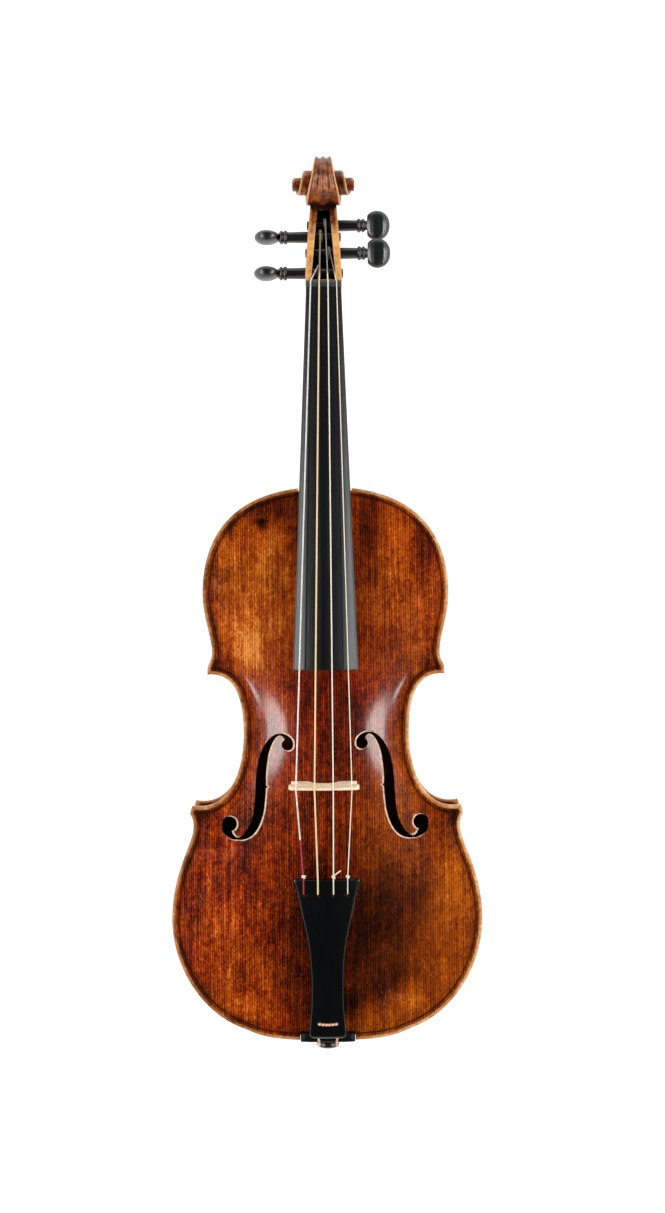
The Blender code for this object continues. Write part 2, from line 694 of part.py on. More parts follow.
def make_neck():
    """Loft from the heel up the neck and pegbox and round the volute to the eye."""
    rows = neck_sections()
    head, chin = head_rows()
    chin += len(rows)
    rows += head
    points, faces, index = wound_loft(rows, chin)
    close_eye(points, faces, index, len(rows) - 1, chin)
    neck = mirrored(smooth(surface_object("neck_with_scroll", points, faces, MAPLE), 38.0))
    cut(neck, make_trough(), *NAIL_BORES)
    for name, side, y, z, _, _ in PEGS:
        cut(neck, rod_cutter("cut_peg_" + name, (-side * 14.0, y, z), (side * 14.0, y, z), 3.35, 4.15))


def make_trough():
    """The hollow of the pegbox, open to the front."""
    corners = ((488.7, 62.0, 8.2), (489.8, 31.5, 7.4), (539.6, 12.6, 3.9), (540.6, 62.0, 4.7))
    points = [(side * half, y, z) for side in (-1, 1) for y, z, half in corners]
    return surface_object("cut_trough", points, ring_faces(2, 4), None, CUTTERS)


def make_nails():
    profile = ((0.0, 0.0), (0.0, 3.0), (1.2, 2.8), (1.4, 1.4), (NAIL_LENGTH - 2, 1.0), (NAIL_LENGTH, 0.0))
    for label, x, z in NAILS:
        nail = turned("neck_nail_" + label, profile, 8, IRON)
        nail.location = (x * MM, NAIL_START * MM, z * MM)
        nail.rotation_euler = (0.0, 0.0, math.pi / 2)


# Fingerboard and nut
def board_crown(y):
    nut_height = neck_top(NUT_FRONT) + GAP + 4.9
    return nut_height + (BOARD_END_CROWN - nut_height) * (NUT_FRONT - y) / (NUT_FRONT - BOARD_END)


def board_hollow(y):
    """Depth hollowed out under the free end of the fingerboard."""
    return min(max(NECK_ROOT - 3.5 - y, 0.0) * 0.05, 2.4)


def crown_sag(x):
    return BOARD_RADIUS - math.sqrt(BOARD_RADIUS ** 2 - x * x)


def make_fingerboard():
    """Wedge with a crowned top; its underside leaves the neck at the body and rises over the top."""
    points, free = [], NECK_ROOT - 2.0
    stations = (BOARD_END, 252.0, 290.0, 330.0, free, 400.0, 445.0, NUT_FRONT - GAP)
    for y in stations:
        half, hollow = board_half(y), board_hollow(y)
        crown = board_crown(y) - (0.6 if y == BOARD_END else 0.0)
        base = neck_top(max(y, free)) + GAP + max(free - y, 0.0) * 0.128
        row = [(half * share, y, crown - crown_sag(half * share)) for share in (0.0, 0.25, 0.5, 0.75, 0.96)]
        row += [(half, y, row[-1][2] - 0.7), (half - 0.4, y, base)]
        points += [*row, (half * 0.62, y, base + hollow), (0.0, y, base + hollow * 1.3)]
    count = len(points) // len(stations)
    faces = grid_faces(len(stations), count)
    faces += [tuple(range(count)), tuple(len(points) - count + i for i in range(count))]
    mirrored(smooth(surface_object("fingerboard", points, faces, EBONY), 35.0))


def half_block(name, outline, shares, half, drop):
    """Half a small block: an outline in Y and Z repeated from the middle line outwards."""
    points = [(share * half, y, z - drop(share, z)) for share in shares for y, z in outline]
    faces = ring_faces(len(shares), len(outline))
    faces.pop(-2)
    return mirrored(surface_object(name, points, faces, EBONY))


def make_nut():
    top, base = NUT_STRING - 0.9, neck_top(NUT_FRONT) + GAP
    outline = ((NUT_FRONT, base), (NUT_FRONT, top - 0.5), (NUT_FRONT + 1.2, top),
               (NUT_BACK - 1.8, top - 0.6), (NUT_BACK, top - 2.2), (NUT_BACK, base))
    half = NUT_HALF - 0.1
    half_block("nut", outline, (0.0, 0.35, 0.7, 1.0), half,
               lambda share, z: crown_sag(share * half) if z > base else 0.0)


# Pegs, each with its winding
def make_peg(name, side, y, z):
    """A turned shaft with a flat thumb piece; built along +X, placed on its own axis."""
    out = 0.0 if side > 0 else 1.6
    tip = -float(np.interp(y, (495.0, 532.0), (12.8, 11.0)))
    shaft = ((tip, 0.0), (tip + 0.2, 2.3), (tip + 0.8, 2.9), (11.5, 3.7), (22.0 + out, 3.5))
    collar = ((22.3, 4.2), (23.3, 4.5), (24.3, 4.1), (24.8, 3.6),
              (25.4, 4.3), (26.5, 4.3), (27.2, 3.3), (30.6, 3.0))
    head = ((30.0, 4.7), (28.5, 7.2), (31.0, 8.9), (34.8, 9.6),
            (38.6, 8.7), (41.4, 6.5), (43.0, 3.6), (43.5, 0.0))
    profile = (*shaft, *((along + out, radius) for along, radius in (*collar, *head)))
    peg = turned("peg_" + name, profile, PEG_TURN_STEPS, EBONY)
    press_thumb(peg, (27.5 + out) * MM, "z" if side > 0 else "y")
    peg.rotation_euler = (0.0, 0.0, 0.0 if side > 0 else math.pi)
    peg.location = (0.0, y * MM, z * MM)
    smooth(peg, 50.0)


def press_thumb(peg, start, way):
    """The head flattened from two sides, least at its neck."""
    for vert in peg.data.vertices:
        if vert.co.x > start:
            off = math.hypot(vert.co.y, vert.co.z) / MM
            press = float(np.interp(off, (3.0, 4.2, 7.0, 9.6), (1.0, 0.9, 0.6, 0.5)))
            setattr(vert.co, way, getattr(vert.co, way) * press)


def make_winding(name, y, z, middle, turns, radius):
    """The turns of string round the peg, one open helix about the peg's axis."""
    coil, pitch = WINDING_RADIUS + radius, 2 * radius + COIL_GAP
    path = []
    for step in range(int(turns * COIL_STEPS) + 1):
        round_to = step / COIL_STEPS
        a = 2 * math.pi * round_to
        path.append((middle + (round_to - turns / 2) * pitch, coil * math.cos(a), coil * math.sin(a)))
    spots, count = np.array(path), np.arange(len(path))
    apart = np.linalg.norm(spots[:, None] - spots[None], axis=2)
    others = np.abs(np.subtract.outer(count, count)) > COIL_STEPS / 2
    print("winding", name, "least gap to itself", round(float(apart[others].min()) - 2 * radius, 3), "mm")
    winding = tube("winding_" + name, path, radius, SILVER if name == "g" else GUT, fine=1)
    winding.location = (0.0, y * MM, z * MM)


# Strings, bridge and tail
def tail_top(y):
    """Height of the tailpiece's middle line."""
    fall = (TAIL_FRONT_CROWN - TAIL_END_CROWN) / (TAIL_FRONT - TAIL_END)
    return TAIL_FRONT_CROWN - (TAIL_FRONT - y) * fall


def tail_sag(x):
    return x * x / (2 * TAIL_RADIUS)


def make_strings():
    """Each string from its winding over nut and bridge into its hole in the tailpiece."""
    for (name, nut_x, bridge_x, radius), (_, _, y, z, middle, turns) in zip(STRINGS, string_pegs()):
        nut_z = NUT_STRING - crown_sag(nut_x)
        bridge_z = BRIDGE_STRING - crown_sag(bridge_x)
        notch_x = bridge_x + BRIDGE_X
        reach = WINDING_RADIUS + 3 * radius + COIL_GAP
        along, up = NUT_BACK - 0.4 - y, nut_z - 0.6 - z
        lean = math.atan2(up, along) - math.acos(reach / math.hypot(along, up))
        finish = (middle, y + reach * math.cos(lean), z + reach * math.sin(lean))
        hole_x = bridge_x * TAIL_SPREAD
        front = tail_top(TAIL_FRONT) - tail_sag(hole_x) + GAP + radius
        at_hole = tail_top(HOLE_Y) - tail_sag(hole_x)
        path = [finish, (nut_x * 0.95, NUT_BACK - 0.2, nut_z - 0.9), (nut_x, NUT_BACK - 1.6, nut_z - 0.1),
                (nut_x, NUT_FRONT, nut_z),
                (notch_x, BRIDGE_Y + 1.2, bridge_z), (notch_x, BRIDGE_Y - 1.2, bridge_z),
                (hole_x, TAIL_FRONT + 0.5, front), (hole_x, HOLE_Y + 1.3, at_hole + GAP + radius),
                (hole_x, HOLE_Y + 0.3, at_hole - 0.6), (hole_x, HOLE_Y, at_hole - 7.5)]
        tube("string_" + name, path, radius, SILVER if name == "g" else GUT, fine=2)


def string_pegs():
    """The pegs in the order of the strings."""
    return [next(peg for peg in PEGS if peg[0] == string[0]) for string in STRINGS]


def bridge_foot(x):
    """Height that clears the top under both feet of the bridge, at a distance from its middle."""
    spots = [(BRIDGE_X + side * x, BRIDGE_Y + step) for side in (-1, 1) for step in (-2.2, 0.0, 2.2)]
    return max(surface_height(TOP, *spot, 90.0, -1.0) for spot in spots) + GAP


def make_bridge():
    """Half outline in X and Z, mirrored, thinned towards the crown."""
    soles = [(x, bridge_foot(x)) for x in (9.5, 13.0, 17.0, 20.8)]
    base = soles[1][1]
    arch = [(0.0, base + 12.0), (3.5, base + 11.4), (6.4, base + 8.8), (8.2, base + 4.6), (9.2, base + 1.6)]
    flank = [(20.9, soles[-1][1] + 2.0), (18.2, base + 4.4), (16.4, base + 7.0), (16.2, base + 9.4),
             (18.6, base + 11.0), (20.6, base + 12.6), (21.9, base + 15.6), (22.1, base + 19.0),
             (21.0, base + 21.6)]
    half = [*arch, *soles, *flank]
    for x in (17.4, 13.0, 8.5, 4.0, 0.0):
        half.append((x, BRIDGE_STRING - crown_sag(x) - 0.52 - GAP))
    bridge = upright_piece("bridge", both_sides(half), BRIDGE_Y, 2.1, MAPLE_BARE)
    for vert in bridge.data.vertices:
        thin = np.interp(vert.co.z / MM, (base, base + 6, BRIDGE_STRING), (1.0, 0.95, 0.34))
        vert.co.y = BRIDGE_Y * MM + (vert.co.y - BRIDGE_Y * MM) * thin
    heart = both_sides([(0.0, base + 15.0), (2.6, base + 18.0), (3.4, base + 20.6), (2.6, base + 22.4),
                        (1.2, base + 22.4), (0.0, base + 21.0)])
    cut(bridge, upright_piece("cut_heart", heart, BRIDGE_Y, 5.0, None, CUTTERS))
    around = np.linspace(0, 2 * math.pi, 16, endpoint=False)
    for label, side in (("left", -1), ("right", 1)):
        oval = [(side * (12.8 + 3.6 * math.cos(a)), base + 16.4 + 2.2 * math.sin(a)) for a in around]
        cut(bridge, upright_piece("cut_kidney_" + label, oval, BRIDGE_Y, 5.0, None, CUTTERS))
    for piece in (bridge, *(step.object for step in bridge.modifiers)):
        piece.location.x = BRIDGE_X * MM


def make_tailpiece():
    """Lofted along its length: wide at the strings, waisted, with a crowned face."""
    stations = ((TAIL_FRONT, 21.2), (TAIL_FRONT - 0.9, 21.4), (98.0, 18.6), (86.0, 16.0), (66.0, 11.8),
                (48.0, 10.2), (38.0, 9.9), (26.0, 10.2), (14.0, 11.1), (8.5, 11.6), (5.6, 11.1),
                (TAIL_END, 9.4))
    points = []
    for k, (y, half) in enumerate(stations):
        crown = tail_top(y) - (0.7 if k in (0, len(stations) - 1) else 0.0)
        thick = TAIL_WOOD - 0.6 * (TAIL_FRONT - y) / TAIL_FRONT
        face = [(share, tail_sag(half * share)) for share in (0.0, 0.35, 0.7, 0.95)]
        side = [(1.0, tail_sag(half) + 0.8), (0.97, thick - 1.4), (0.86, thick), (0.0, thick)]
        for share, drop in (*face, *side):
            dip = 0.7 * (1 - share ** 2) if k == 0 else 0.0
            points.append((half * share, y - dip, crown - drop))
    count = len(points) // len(stations)
    faces = grid_faces(len(stations), count)
    faces += [tuple(range(count)), tuple(len(points) - count + i for i in range(count))]
    tail = mirrored(smooth(surface_object("tailpiece", points, faces, EBONY), 35.0))
    for name, _, bridge_x, _ in STRINGS:
        drill_down(tail, "cut_tail_" + name, bridge_x * TAIL_SPREAD, HOLE_Y)
    for label, side in (("left", -1), ("right", 1)):
        drill_down(tail, "cut_tail_gut_" + label, side * GUT_X, GUT_Y)


def drill_down(tail, name, x, y):
    """A small hole down through the tailpiece."""
    low, high = tail_top(y) - 2 * TAIL_WOOD, tail_top(y) + 2 * TAIL_WOOD
    cut(tail, rod_cutter(name, (x, y, low), (x, y, high), HOLE_RADIUS, sides=12))


def make_tail_gut():
    """One strand: across the tailpiece, down its two holes, over the saddle and round the button."""
    over = tail_top(GUT_Y) + GAP + GUT_THICK
    under = tail_top(GUT_Y) - TAIL_WOOD + 0.4 - GAP - GUT_THICK
    rest = SADDLE_TOP + GAP + GUT_THICK
    half = [(0.0, GUT_Y, over), (5.4, GUT_Y, over - 0.1), (6.1, GUT_Y - 0.1, over - 1.0),
            (GUT_X, GUT_Y, under + 0.6), (6.1, GUT_Y - 1.2, under - 0.3), (5.9, 4.6, rest),
            (5.8, 1.2, rest - 0.1), (5.7, -1.0, rest - 1.4), (5.6, -1.9, rest - 4.0), (5.5, -2.0, 42.0)]
    for a in np.radians((75, 95, 115, 135, 155)):
        half.append((LOOP_RADIUS * math.sin(a), -2.2, BUTTON_Z + LOOP_RADIUS * math.cos(a)))
    bottom = [(0.0, -2.2, BUTTON_Z - LOOP_RADIUS)]
    whole = half + bottom + [(-x, y, z) for x, y, z in half[:0:-1]]
    tube("tail_gut", whole, GUT_THICK, GUT_DARK, fine=1, closed=True)


def make_saddle():
    top, base = SADDLE_TOP, TOP_INSIDE + GAP
    outline = ((0.1, base), (0.1, top - 1.4), (1.0, top - 0.3), (2.4, top), (4.6, top - 0.5),
               (5.7, top - 2.2), (5.7, base))

    def drop(share, z):
        """The ends fall away towards the edge of the top."""
        fall = float(np.interp(share, (0.6, 0.88, 1.0), (0.0, 0.3, 0.7)))
        return fall * (z - base - 4.7) if z > base else 0.0

    half_block("saddle", outline, (0.0, 0.6, 0.88, 1.0), SADDLE_HALF, drop)


def make_end_button():
    """A turned button, its shank in the hole of the lower block."""
    profile = ((-22.6, 0.0), (-22.6, 2.9), (-2.9, 3.4), (-2.45, 5.2), (-0.9, 5.4), (0.1, 4.1), (2.6, 4.1),
               (3.4, 6.0), (4.8, 7.2), (7.0, 7.3), (8.4, 6.3), (8.8, 5.0), (8.8, 0.0))
    button = turned("end_button", profile, 16, EBONY)
    button.rotation_euler = (0.0, 0.0, -math.pi / 2)
    button.location = (0.0, 0.0, BUTTON_Z * MM)


clear_scene()
VIOLIN = new_collection("Baroque violin")
CUTTERS = new_collection("Cutters")
SPRUCE = paint("varnished spruce", (0.55, 0.21, 0.06), 0.4)
MAPLE = paint("varnished maple", (0.45, 0.16, 0.05), 0.4)
SPRUCE_BARE = paint("bare spruce", (0.72, 0.55, 0.34), 0.75)
MAPLE_BARE = paint("bare maple", (0.75, 0.55, 0.3), 0.6)
WILLOW = paint("bare willow", (0.7, 0.56, 0.38), 0.8)
EBONY = paint("ebony", (0.02, 0.018, 0.017), 0.35)
GUT = paint("gut", (0.78, 0.66, 0.45), 0.45)
GUT_DARK = paint("tail gut", (0.62, 0.42, 0.3), 0.45)
SILVER = paint("silver winding", (0.6, 0.58, 0.54), 0.35, 1.0)
IRON = paint("forged iron", (0.16, 0.14, 0.13), 0.6, 1.0)
EDGE = bezier((0.0, 0.0), OUTLINE)
MIDDLE = bezier((0.0, 8.0), CORE)
BUTTON_BORE = rod_cutter("cut_button", (0.0, -5.0, BUTTON_Z), (0.0, 30.0, BUTTON_Z), 3.75)
NAIL_BORES = [rod_cutter("cut_nail_" + label, (x, NAIL_START - 3, z), (x, NECK_ROOT + 13, z), 1.9, sides=8)
              for label, x, z in NAILS]
SURFACES = {}
TOP, BACK = make_plates()
make_ribs()
make_blocks()
make_linings()
make_bass_bar()
make_sound_post()
make_neck()
make_nails()
make_fingerboard()
make_nut()
for (name, side, y, z, middle, turns), string in zip(string_pegs(), STRINGS):
    make_peg(name, side, y, z)
    make_winding(name, y, z, middle, turns, string[3])
make_strings()
make_bridge()
make_tailpiece()
make_tail_gut()
make_saddle()
make_end_button()
for thing in bpy.data.objects:
    thing.location.y -= CROWN_Y * MM
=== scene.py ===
"""Baroque violin on a white sweep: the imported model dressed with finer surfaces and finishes."""
import math

import bmesh
import bpy
import numpy as np
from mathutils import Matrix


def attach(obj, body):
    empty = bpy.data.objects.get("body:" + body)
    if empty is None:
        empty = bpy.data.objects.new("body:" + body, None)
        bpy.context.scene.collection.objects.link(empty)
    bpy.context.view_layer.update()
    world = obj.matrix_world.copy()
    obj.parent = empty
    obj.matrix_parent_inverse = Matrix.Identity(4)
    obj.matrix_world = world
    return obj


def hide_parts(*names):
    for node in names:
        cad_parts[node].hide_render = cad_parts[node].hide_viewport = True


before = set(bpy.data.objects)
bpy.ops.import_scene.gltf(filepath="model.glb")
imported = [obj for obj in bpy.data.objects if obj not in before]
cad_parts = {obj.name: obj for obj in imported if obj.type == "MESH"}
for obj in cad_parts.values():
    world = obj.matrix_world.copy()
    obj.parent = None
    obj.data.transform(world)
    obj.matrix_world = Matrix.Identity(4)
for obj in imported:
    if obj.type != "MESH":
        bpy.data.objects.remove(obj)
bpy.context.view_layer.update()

# Camera, floor and lamps: the violin was photographed from straight above on white paper that curves up
# at its ends, between a broad soft lamp and a narrow bright one on each side. The paper is lit as
# brightly as the lamps, so no shadow shows on it. Places here are in metres.
SIGHT_PLANE = 0.052
SIGHT_HEIGHT = 1.15
HALF_FRAME = 0.3897
SIGHT_X, SIGHT_Y = 0.0045, 0.1017
SIGHT_TURN = math.radians(-0.337)
lens = bpy.data.cameras.new("sight")
lens.sensor_width = 36.0
lens.lens = lens.sensor_width / 2 * SIGHT_HEIGHT / HALF_FRAME
camera = bpy.data.objects.new("sight", lens)
camera.location = (SIGHT_X, SIGHT_Y, SIGHT_PLANE + SIGHT_HEIGHT)
camera.rotation_euler = (0.0, 0.0, SIGHT_TURN)
bpy.context.scene.collection.objects.link(camera)
bpy.context.scene.camera = camera

LAMP_AIM_UP = 0.05
# Name, distance out, place along, height, width, length, brightness of the face, colour
LAMPS = (("soft_box_", 1.02, 0.14, 0.78, 0.5, 1.5, 1.7, (0.97, 0.99, 1.0)),
         ("strip_box_", 0.86, 0.12, 0.88, 0.13, 1.3, 12.0, (1.0, 0.99, 0.97)))
for side, label in ((-1.0, "left"), (1.0, "right")):
    for name, out, along, height, wide, long, radiance, colour in LAMPS:
        lamp = bpy.data.lights.new(name + label, "AREA")
        lamp.shape = "RECTANGLE"
        lamp.size = wide
        lamp.size_y = long
        # A lamp gives pi times its area times the brightness of its face
        lamp.energy = radiance * math.pi * wide * long
        lamp.color = colour
        box = bpy.data.objects.new(name + label, lamp)
        box.location = (side * out, along, height)
        box.rotation_euler = (0.0, side * math.atan2(out, height - LAMP_AIM_UP), 0.0)
        bpy.context.scene.collection.objects.link(box)

room = bpy.data.worlds.new("dim room")
room.use_nodes = True
room.node_tree.nodes["Background"].inputs["Color"].default_value = (0.6, 0.64, 0.68, 1.0)
room.node_tree.nodes["Background"].inputs["Strength"].default_value = 0.05
bpy.context.scene.world = room
bpy.context.scene.view_settings.view_transform = "Standard"


def full_turn(steps):
    """Even angles once round a circle."""
    return np.linspace(0, 2 * math.pi, steps, endpoint=False)


# The paper: rings round the violin, flat to two metres out and then rising, just under the mount
PAPER_STEPS, PAPER_DROP = 96, 0.0012
ring_out = np.array((0.0, 0.5, 1.2, 2.0, 2.4, 2.7, 2.9, 3.0, 3.05))[:, None]
ring_up = np.array((0.0, 0.0, 0.0, 0.0, 0.08, 0.26, 0.55, 1.0, 1.7))[:, None] - PAPER_DROP
ring_turn = full_turn(PAPER_STEPS)
paper_points = np.stack([ring_out * np.cos(ring_turn), 0.1 + ring_out * np.sin(ring_turn),
                         ring_up + ring_turn * 0], axis=-1).reshape(-1, 3)
ring_start = np.arange(ring_out.size - 1)[:, None] * PAPER_STEPS
first = (ring_start + np.arange(PAPER_STEPS)).ravel()
after = (ring_start + (np.arange(PAPER_STEPS) + 1) % PAPER_STEPS).ravel()
paper_cells = np.stack([first, first + PAPER_STEPS, after + PAPER_STEPS, after], axis=-1)
paper_mesh = bpy.data.meshes.new("white_paper")
paper_mesh.from_pydata(paper_points, [], paper_cells)
paper_mesh.shade_smooth()
paper = bpy.data.objects.new("white_paper", paper_mesh)
bpy.context.scene.collection.objects.link(paper)
paper_finish = bpy.data.materials.new("lit white paper")
paper_finish.use_nodes = True
paper_shader = paper_finish.node_tree.nodes["Principled BSDF"]
paper_shader.inputs["Base Color"].default_value = (0.25, 0.25, 0.25, 1.0)
paper_shader.inputs["Roughness"].default_value = 1.0
paper_shader.inputs["Specular IOR Level"].default_value = 0.0
paper_shader.inputs["Emission Color"].default_value = (1.0, 1.0, 1.0, 1.0)
paper_shader.inputs["Emission Strength"].default_value = 1.0
paper_mesh.materials.append(paper_finish)


# Back plate: two book-matched boards of flamed maple, carved to a low arch out of the solid, with a round
# button that the heel of the neck is glued to, and an inlaid purfling that runs round inside the edge.
# From here on heights are millimetres over the crown of the back, and lengths are from the tail edge.
MM = 0.001
TAIL_TO_CROWN = 177.5
BACK_INSIDE = 18.0
EDGE_THICKNESS = 4.0
BACK_RISE, BACK_WOOD = 14.25, 3.7
BODY_LENGTH = 356.5
CHANNEL_DEPTH, CHANNEL_PLACE, CHANNEL_WIDTH = 0.8, 6.0, 2.6
GLUED_MARGIN, RIM_WIDTH, SPINE_SHARE = 6.8, 2.0, 0.78
FINER = 4
# Half of the outline, and the line round the middle of the arch, as Bezier pieces: two handles, the
# end, and the number of steps
OUTLINE = (((42.0, 0.0), (44.6, 4.4), (55.2, 8.4), 7), ((81.5, 18.4), (99.9, 48.2), (99.9, 78.4), 8),
           ((99.9, 109.2), (85.8, 126.8), (85.8, 138.5), 7), ((85.8, 141.6), (86.8, 144.6), (88.1, 146.3), 2),
           ((87.6, 148.1), (87.1, 149.9), (86.6, 151.6), 1), ((63.5, 147.1), (53.2, 172.7), (53.2, 198.1), 8),
           ((53.2, 217.8), (57.1, 237.4), (76.3, 235.7), 8), ((76.3, 237.6), (76.3, 239.4), (76.2, 241.3), 1),
           ((74.4, 244.0), (73.3, 247.0), (73.3, 250.0), 2), ((73.3, 259.7), (79.2, 273.4), (79.2, 287.4), 4),
           ((79.2, 324.4), (60.6, BODY_LENGTH), (0.0, BODY_LENGTH), 12))
CORE = (((35.0, 8.0), (42.0, 11.0), (50.0, 17.0), 7), ((74.0, 27.0), (91.5, 50.0), (91.5, 79.0), 8),
        ((91.5, 104.0), (77.0, 119.0), (71.0, 133.0), 7), ((70.0, 136.0), (69.0, 138.5), (68.0, 141.0), 2),
        ((67.5, 142.0), (67.0, 143.0), (66.5, 144.2), 1), ((59.0, 158.0), (45.5, 176.0), (45.5, 198.1), 8),
        ((45.5, 212.0), (53.0, 225.0), (58.5, 234.0), 8), ((59.1, 235.0), (59.7, 236.0), (60.3, 237.0), 1),
        ((62.0, 240.0), (63.6, 243.0), (65.0, 246.0), 2), ((69.0, 256.0), (71.2, 272.0), (71.2, 287.0), 4),
        ((71.2, 318.6), (50.0, 347.0), (0.0, 347.0), 12))


def drawn(start, pieces):
    """Bezier pieces (1-t)^3 a + 3t(1-t)^2 b + 3t^2(1-t) c + t^3 d, each at even steps of t."""
    line = [np.array([start], float)]
    for b, c, d, steps in pieces:
        a = line[-1][-1]
        t = np.linspace(0, 1, steps * FINER + 1)[1:, None]
        line.append((1 - t) ** 3 * a + 3 * t * (1 - t) ** 2 * np.array(b) + 3 * t * t * (1 - t) * np.array(c)
                    + t ** 3 * np.array(d))
    return np.concatenate(line)


def moved_in(line, distance):
    """The line moved to its left by a distance, each corner along the bisector of its two sides."""
    step = np.diff(line, axis=0)
    step /= np.linalg.norm(step, axis=1)[:, None]
    left = np.stack([-step[:, 1], step[:, 0]], axis=1)
    before, after = np.vstack([left[:1], left]), np.vstack([left, left[-1:]])
    mitre = (before + after) / (1 + (before * after).sum(axis=1))[:, None]
    return line + mitre * distance


EDGE = drawn((0.0, 0.0), OUTLINE)
MIDDLE = drawn((0.0, 8.0), CORE)


def from_edge(points):
    """Least distance of each point in plan to the outline of the sound box and its mirror image."""
    line = np.vstack([EDGE, EDGE[::-1] * (-1, 1)])
    a, d = line[:-1], np.diff(line, axis=0)
    length = (d * d).sum(axis=1) + 1e-12
    found = []
    for some in np.array_split(points, max(len(points) // 2000, 1)):
        t = np.clip(((some[:, None] - a) * d).sum(axis=2) / length, 0, 1)
        found.append(np.linalg.norm(some[:, None] - (a + t[..., None] * d), axis=2).min(axis=1))
    return np.concatenate(found)


def between(values, start, end):
    """Nought at the start, one at the end, and straight between."""
    return np.clip((values - start) / (end - start), 0, 1)


def arched(points, rise):
    """Height over the glue plane: the edge, plus rise times (1-|along|^3)^1.5 times (1-across^2.3)^1.7,
    less a channel exp(-((d-6)/2.6)^2) beside the edge, d being the distance to the edge."""
    along = between(points[:, 1], MIDDLE[0, 1], MIDDLE[-1, 1])
    width = np.interp(points[:, 1], MIDDLE[:, 1], MIDDLE[:, 0]) + 1e-6
    across = np.clip(np.abs(points[:, 0] / width), 0, 1)
    share = (1 - np.abs(2 * along - 1) ** 3) ** 1.5 * (1 - across ** 2.3) ** 1.7
    channel = CHANNEL_DEPTH * np.exp(-((from_edge(points) - CHANNEL_PLACE) / CHANNEL_WIDTH) ** 2)
    return np.minimum(EDGE_THICKNESS + rise * share - channel, BACK_INSIDE)


def distances(line):
    """How far along a line each of its points is."""
    return np.concatenate([[0.0], np.cumsum(np.linalg.norm(np.diff(line, axis=0), axis=1))])


def both_sides(*sheets):
    """Open sheets of the right half, each with its mirror image."""
    return [(sheet * (side, 1, 1), False) for sheet in sheets for side in (1, -1)]


def at_height(line, height):
    """Points in plan given a height, one for all or one each."""
    return np.column_stack([line, np.broadcast_to(height, len(line))])


def shape(name, sheets, finish, body="violin", slot=None, stands_for=(), sharp=35.0, lids=()):
    """Sheets of points become one closed piece: cells turn into faces, each lid into one face more, and
    seams and poles are merged. The piece's map holds the share across a sheet and the millimetres along."""
    points, cells, maps, start = [], [], [], 0
    for grid, around in sheets:
        rows, columns = grid.shape[:2]
        row = np.arange(rows - 1)[:, None]
        column = np.arange(columns if around else columns - 1)[None]
        beside = (column + 1) % columns
        cell = np.stack([row * columns + column, row * columns + beside,
                         (row + 1) * columns + beside, (row + 1) * columns + column], axis=-1)
        far = distances(grid.mean(axis=1))
        left, right = column / columns, (column + 1) / columns
        corner = np.stack(np.broadcast_arrays(left, far[row], right, far[row],
                                              right, far[row + 1], left, far[row + 1]), axis=-1)
        points.append(grid.reshape(-1, 3))
        cells.append(cell.reshape(-1, 4) + start)
        maps.append(corner.reshape(-1))
        start += rows * columns
    cells = np.concatenate(cells).tolist()
    for lid in lids:
        points.append(lid)
        cells.append(list(range(start, start + len(lid))))
        maps.append(np.zeros(2 * len(lid)))
        start += len(lid)
    data = bpy.data.meshes.new(name)
    data.from_pydata((np.concatenate(points) - (0.0, TAIL_TO_CROWN, 0.0)) * MM, [], cells)
    data.uv_layers.new(name="lay").data.foreach_set("uv", np.concatenate(maps).astype(np.float32))
    mould = bmesh.new()
    mould.from_mesh(data)
    bmesh.ops.remove_doubles(mould, verts=mould.verts, dist=2e-6)
    bmesh.ops.dissolve_degenerate(mould, edges=mould.edges, dist=1e-7)
    bmesh.ops.recalc_face_normals(mould, faces=mould.faces)
    # On a slim form the side taken for the outside can be wrong, which its volume's sign shows
    if mould.calc_volume(signed=True) < 0.0:
        bmesh.ops.reverse_faces(mould, faces=mould.faces)
    mould.to_mesh(data)
    mould.free()
    data.shade_smooth()
    data.set_sharp_from_angle(angle=math.radians(sharp))
    piece = bpy.data.objects.new(name, data)
    bpy.context.scene.collection.objects.link(piece)
    if finish:
        data.materials.append(finish)
    if body:
        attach(piece, body)
    if stands_for:
        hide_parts(*stands_for)
    return piece


def worked(piece, tools, way="DIFFERENCE", sharp=35.0, solver="EXACT"):
    """Cuts the tools out of a piece, or joins them on, and throws the tools away. A tool's finish stays
    on the faces that it leaves."""
    for tool in tools:
        step = piece.modifiers.new(tool.name, "BOOLEAN")
        step.operation = way
        step.solver = solver
        step.object = tool
        step.material_mode = "TRANSFER"
    done = bpy.data.meshes.new_from_object(piece.evaluated_get(bpy.context.evaluated_depsgraph_get()))
    piece.modifiers.clear()
    piece.data = done
    for tool in tools:
        bpy.data.objects.remove(tool, do_unlink=True)
    done.set_sharp_from_angle(angle=math.radians(sharp))
    return piece


def points_of(piece):
    """Places of a piece's points, in metres."""
    spots = np.empty(len(piece.data.vertices) * 3, np.float32)
    piece.data.vertices.foreach_get("co", spots)
    return spots.reshape(-1, 3)


def plan_of(piece):
    """Places of a piece's points in millimetres, their lengths from the tail edge."""
    return points_of(piece) / MM + (0.0, TAIL_TO_CROWN, 0.0)


def mark(piece, name, values):
    """One value for each point of a piece, which its finish reads by name."""
    piece.data.attributes.new(name, "FLOAT", "POINT").data.foreach_set("value", values.astype(np.float32))


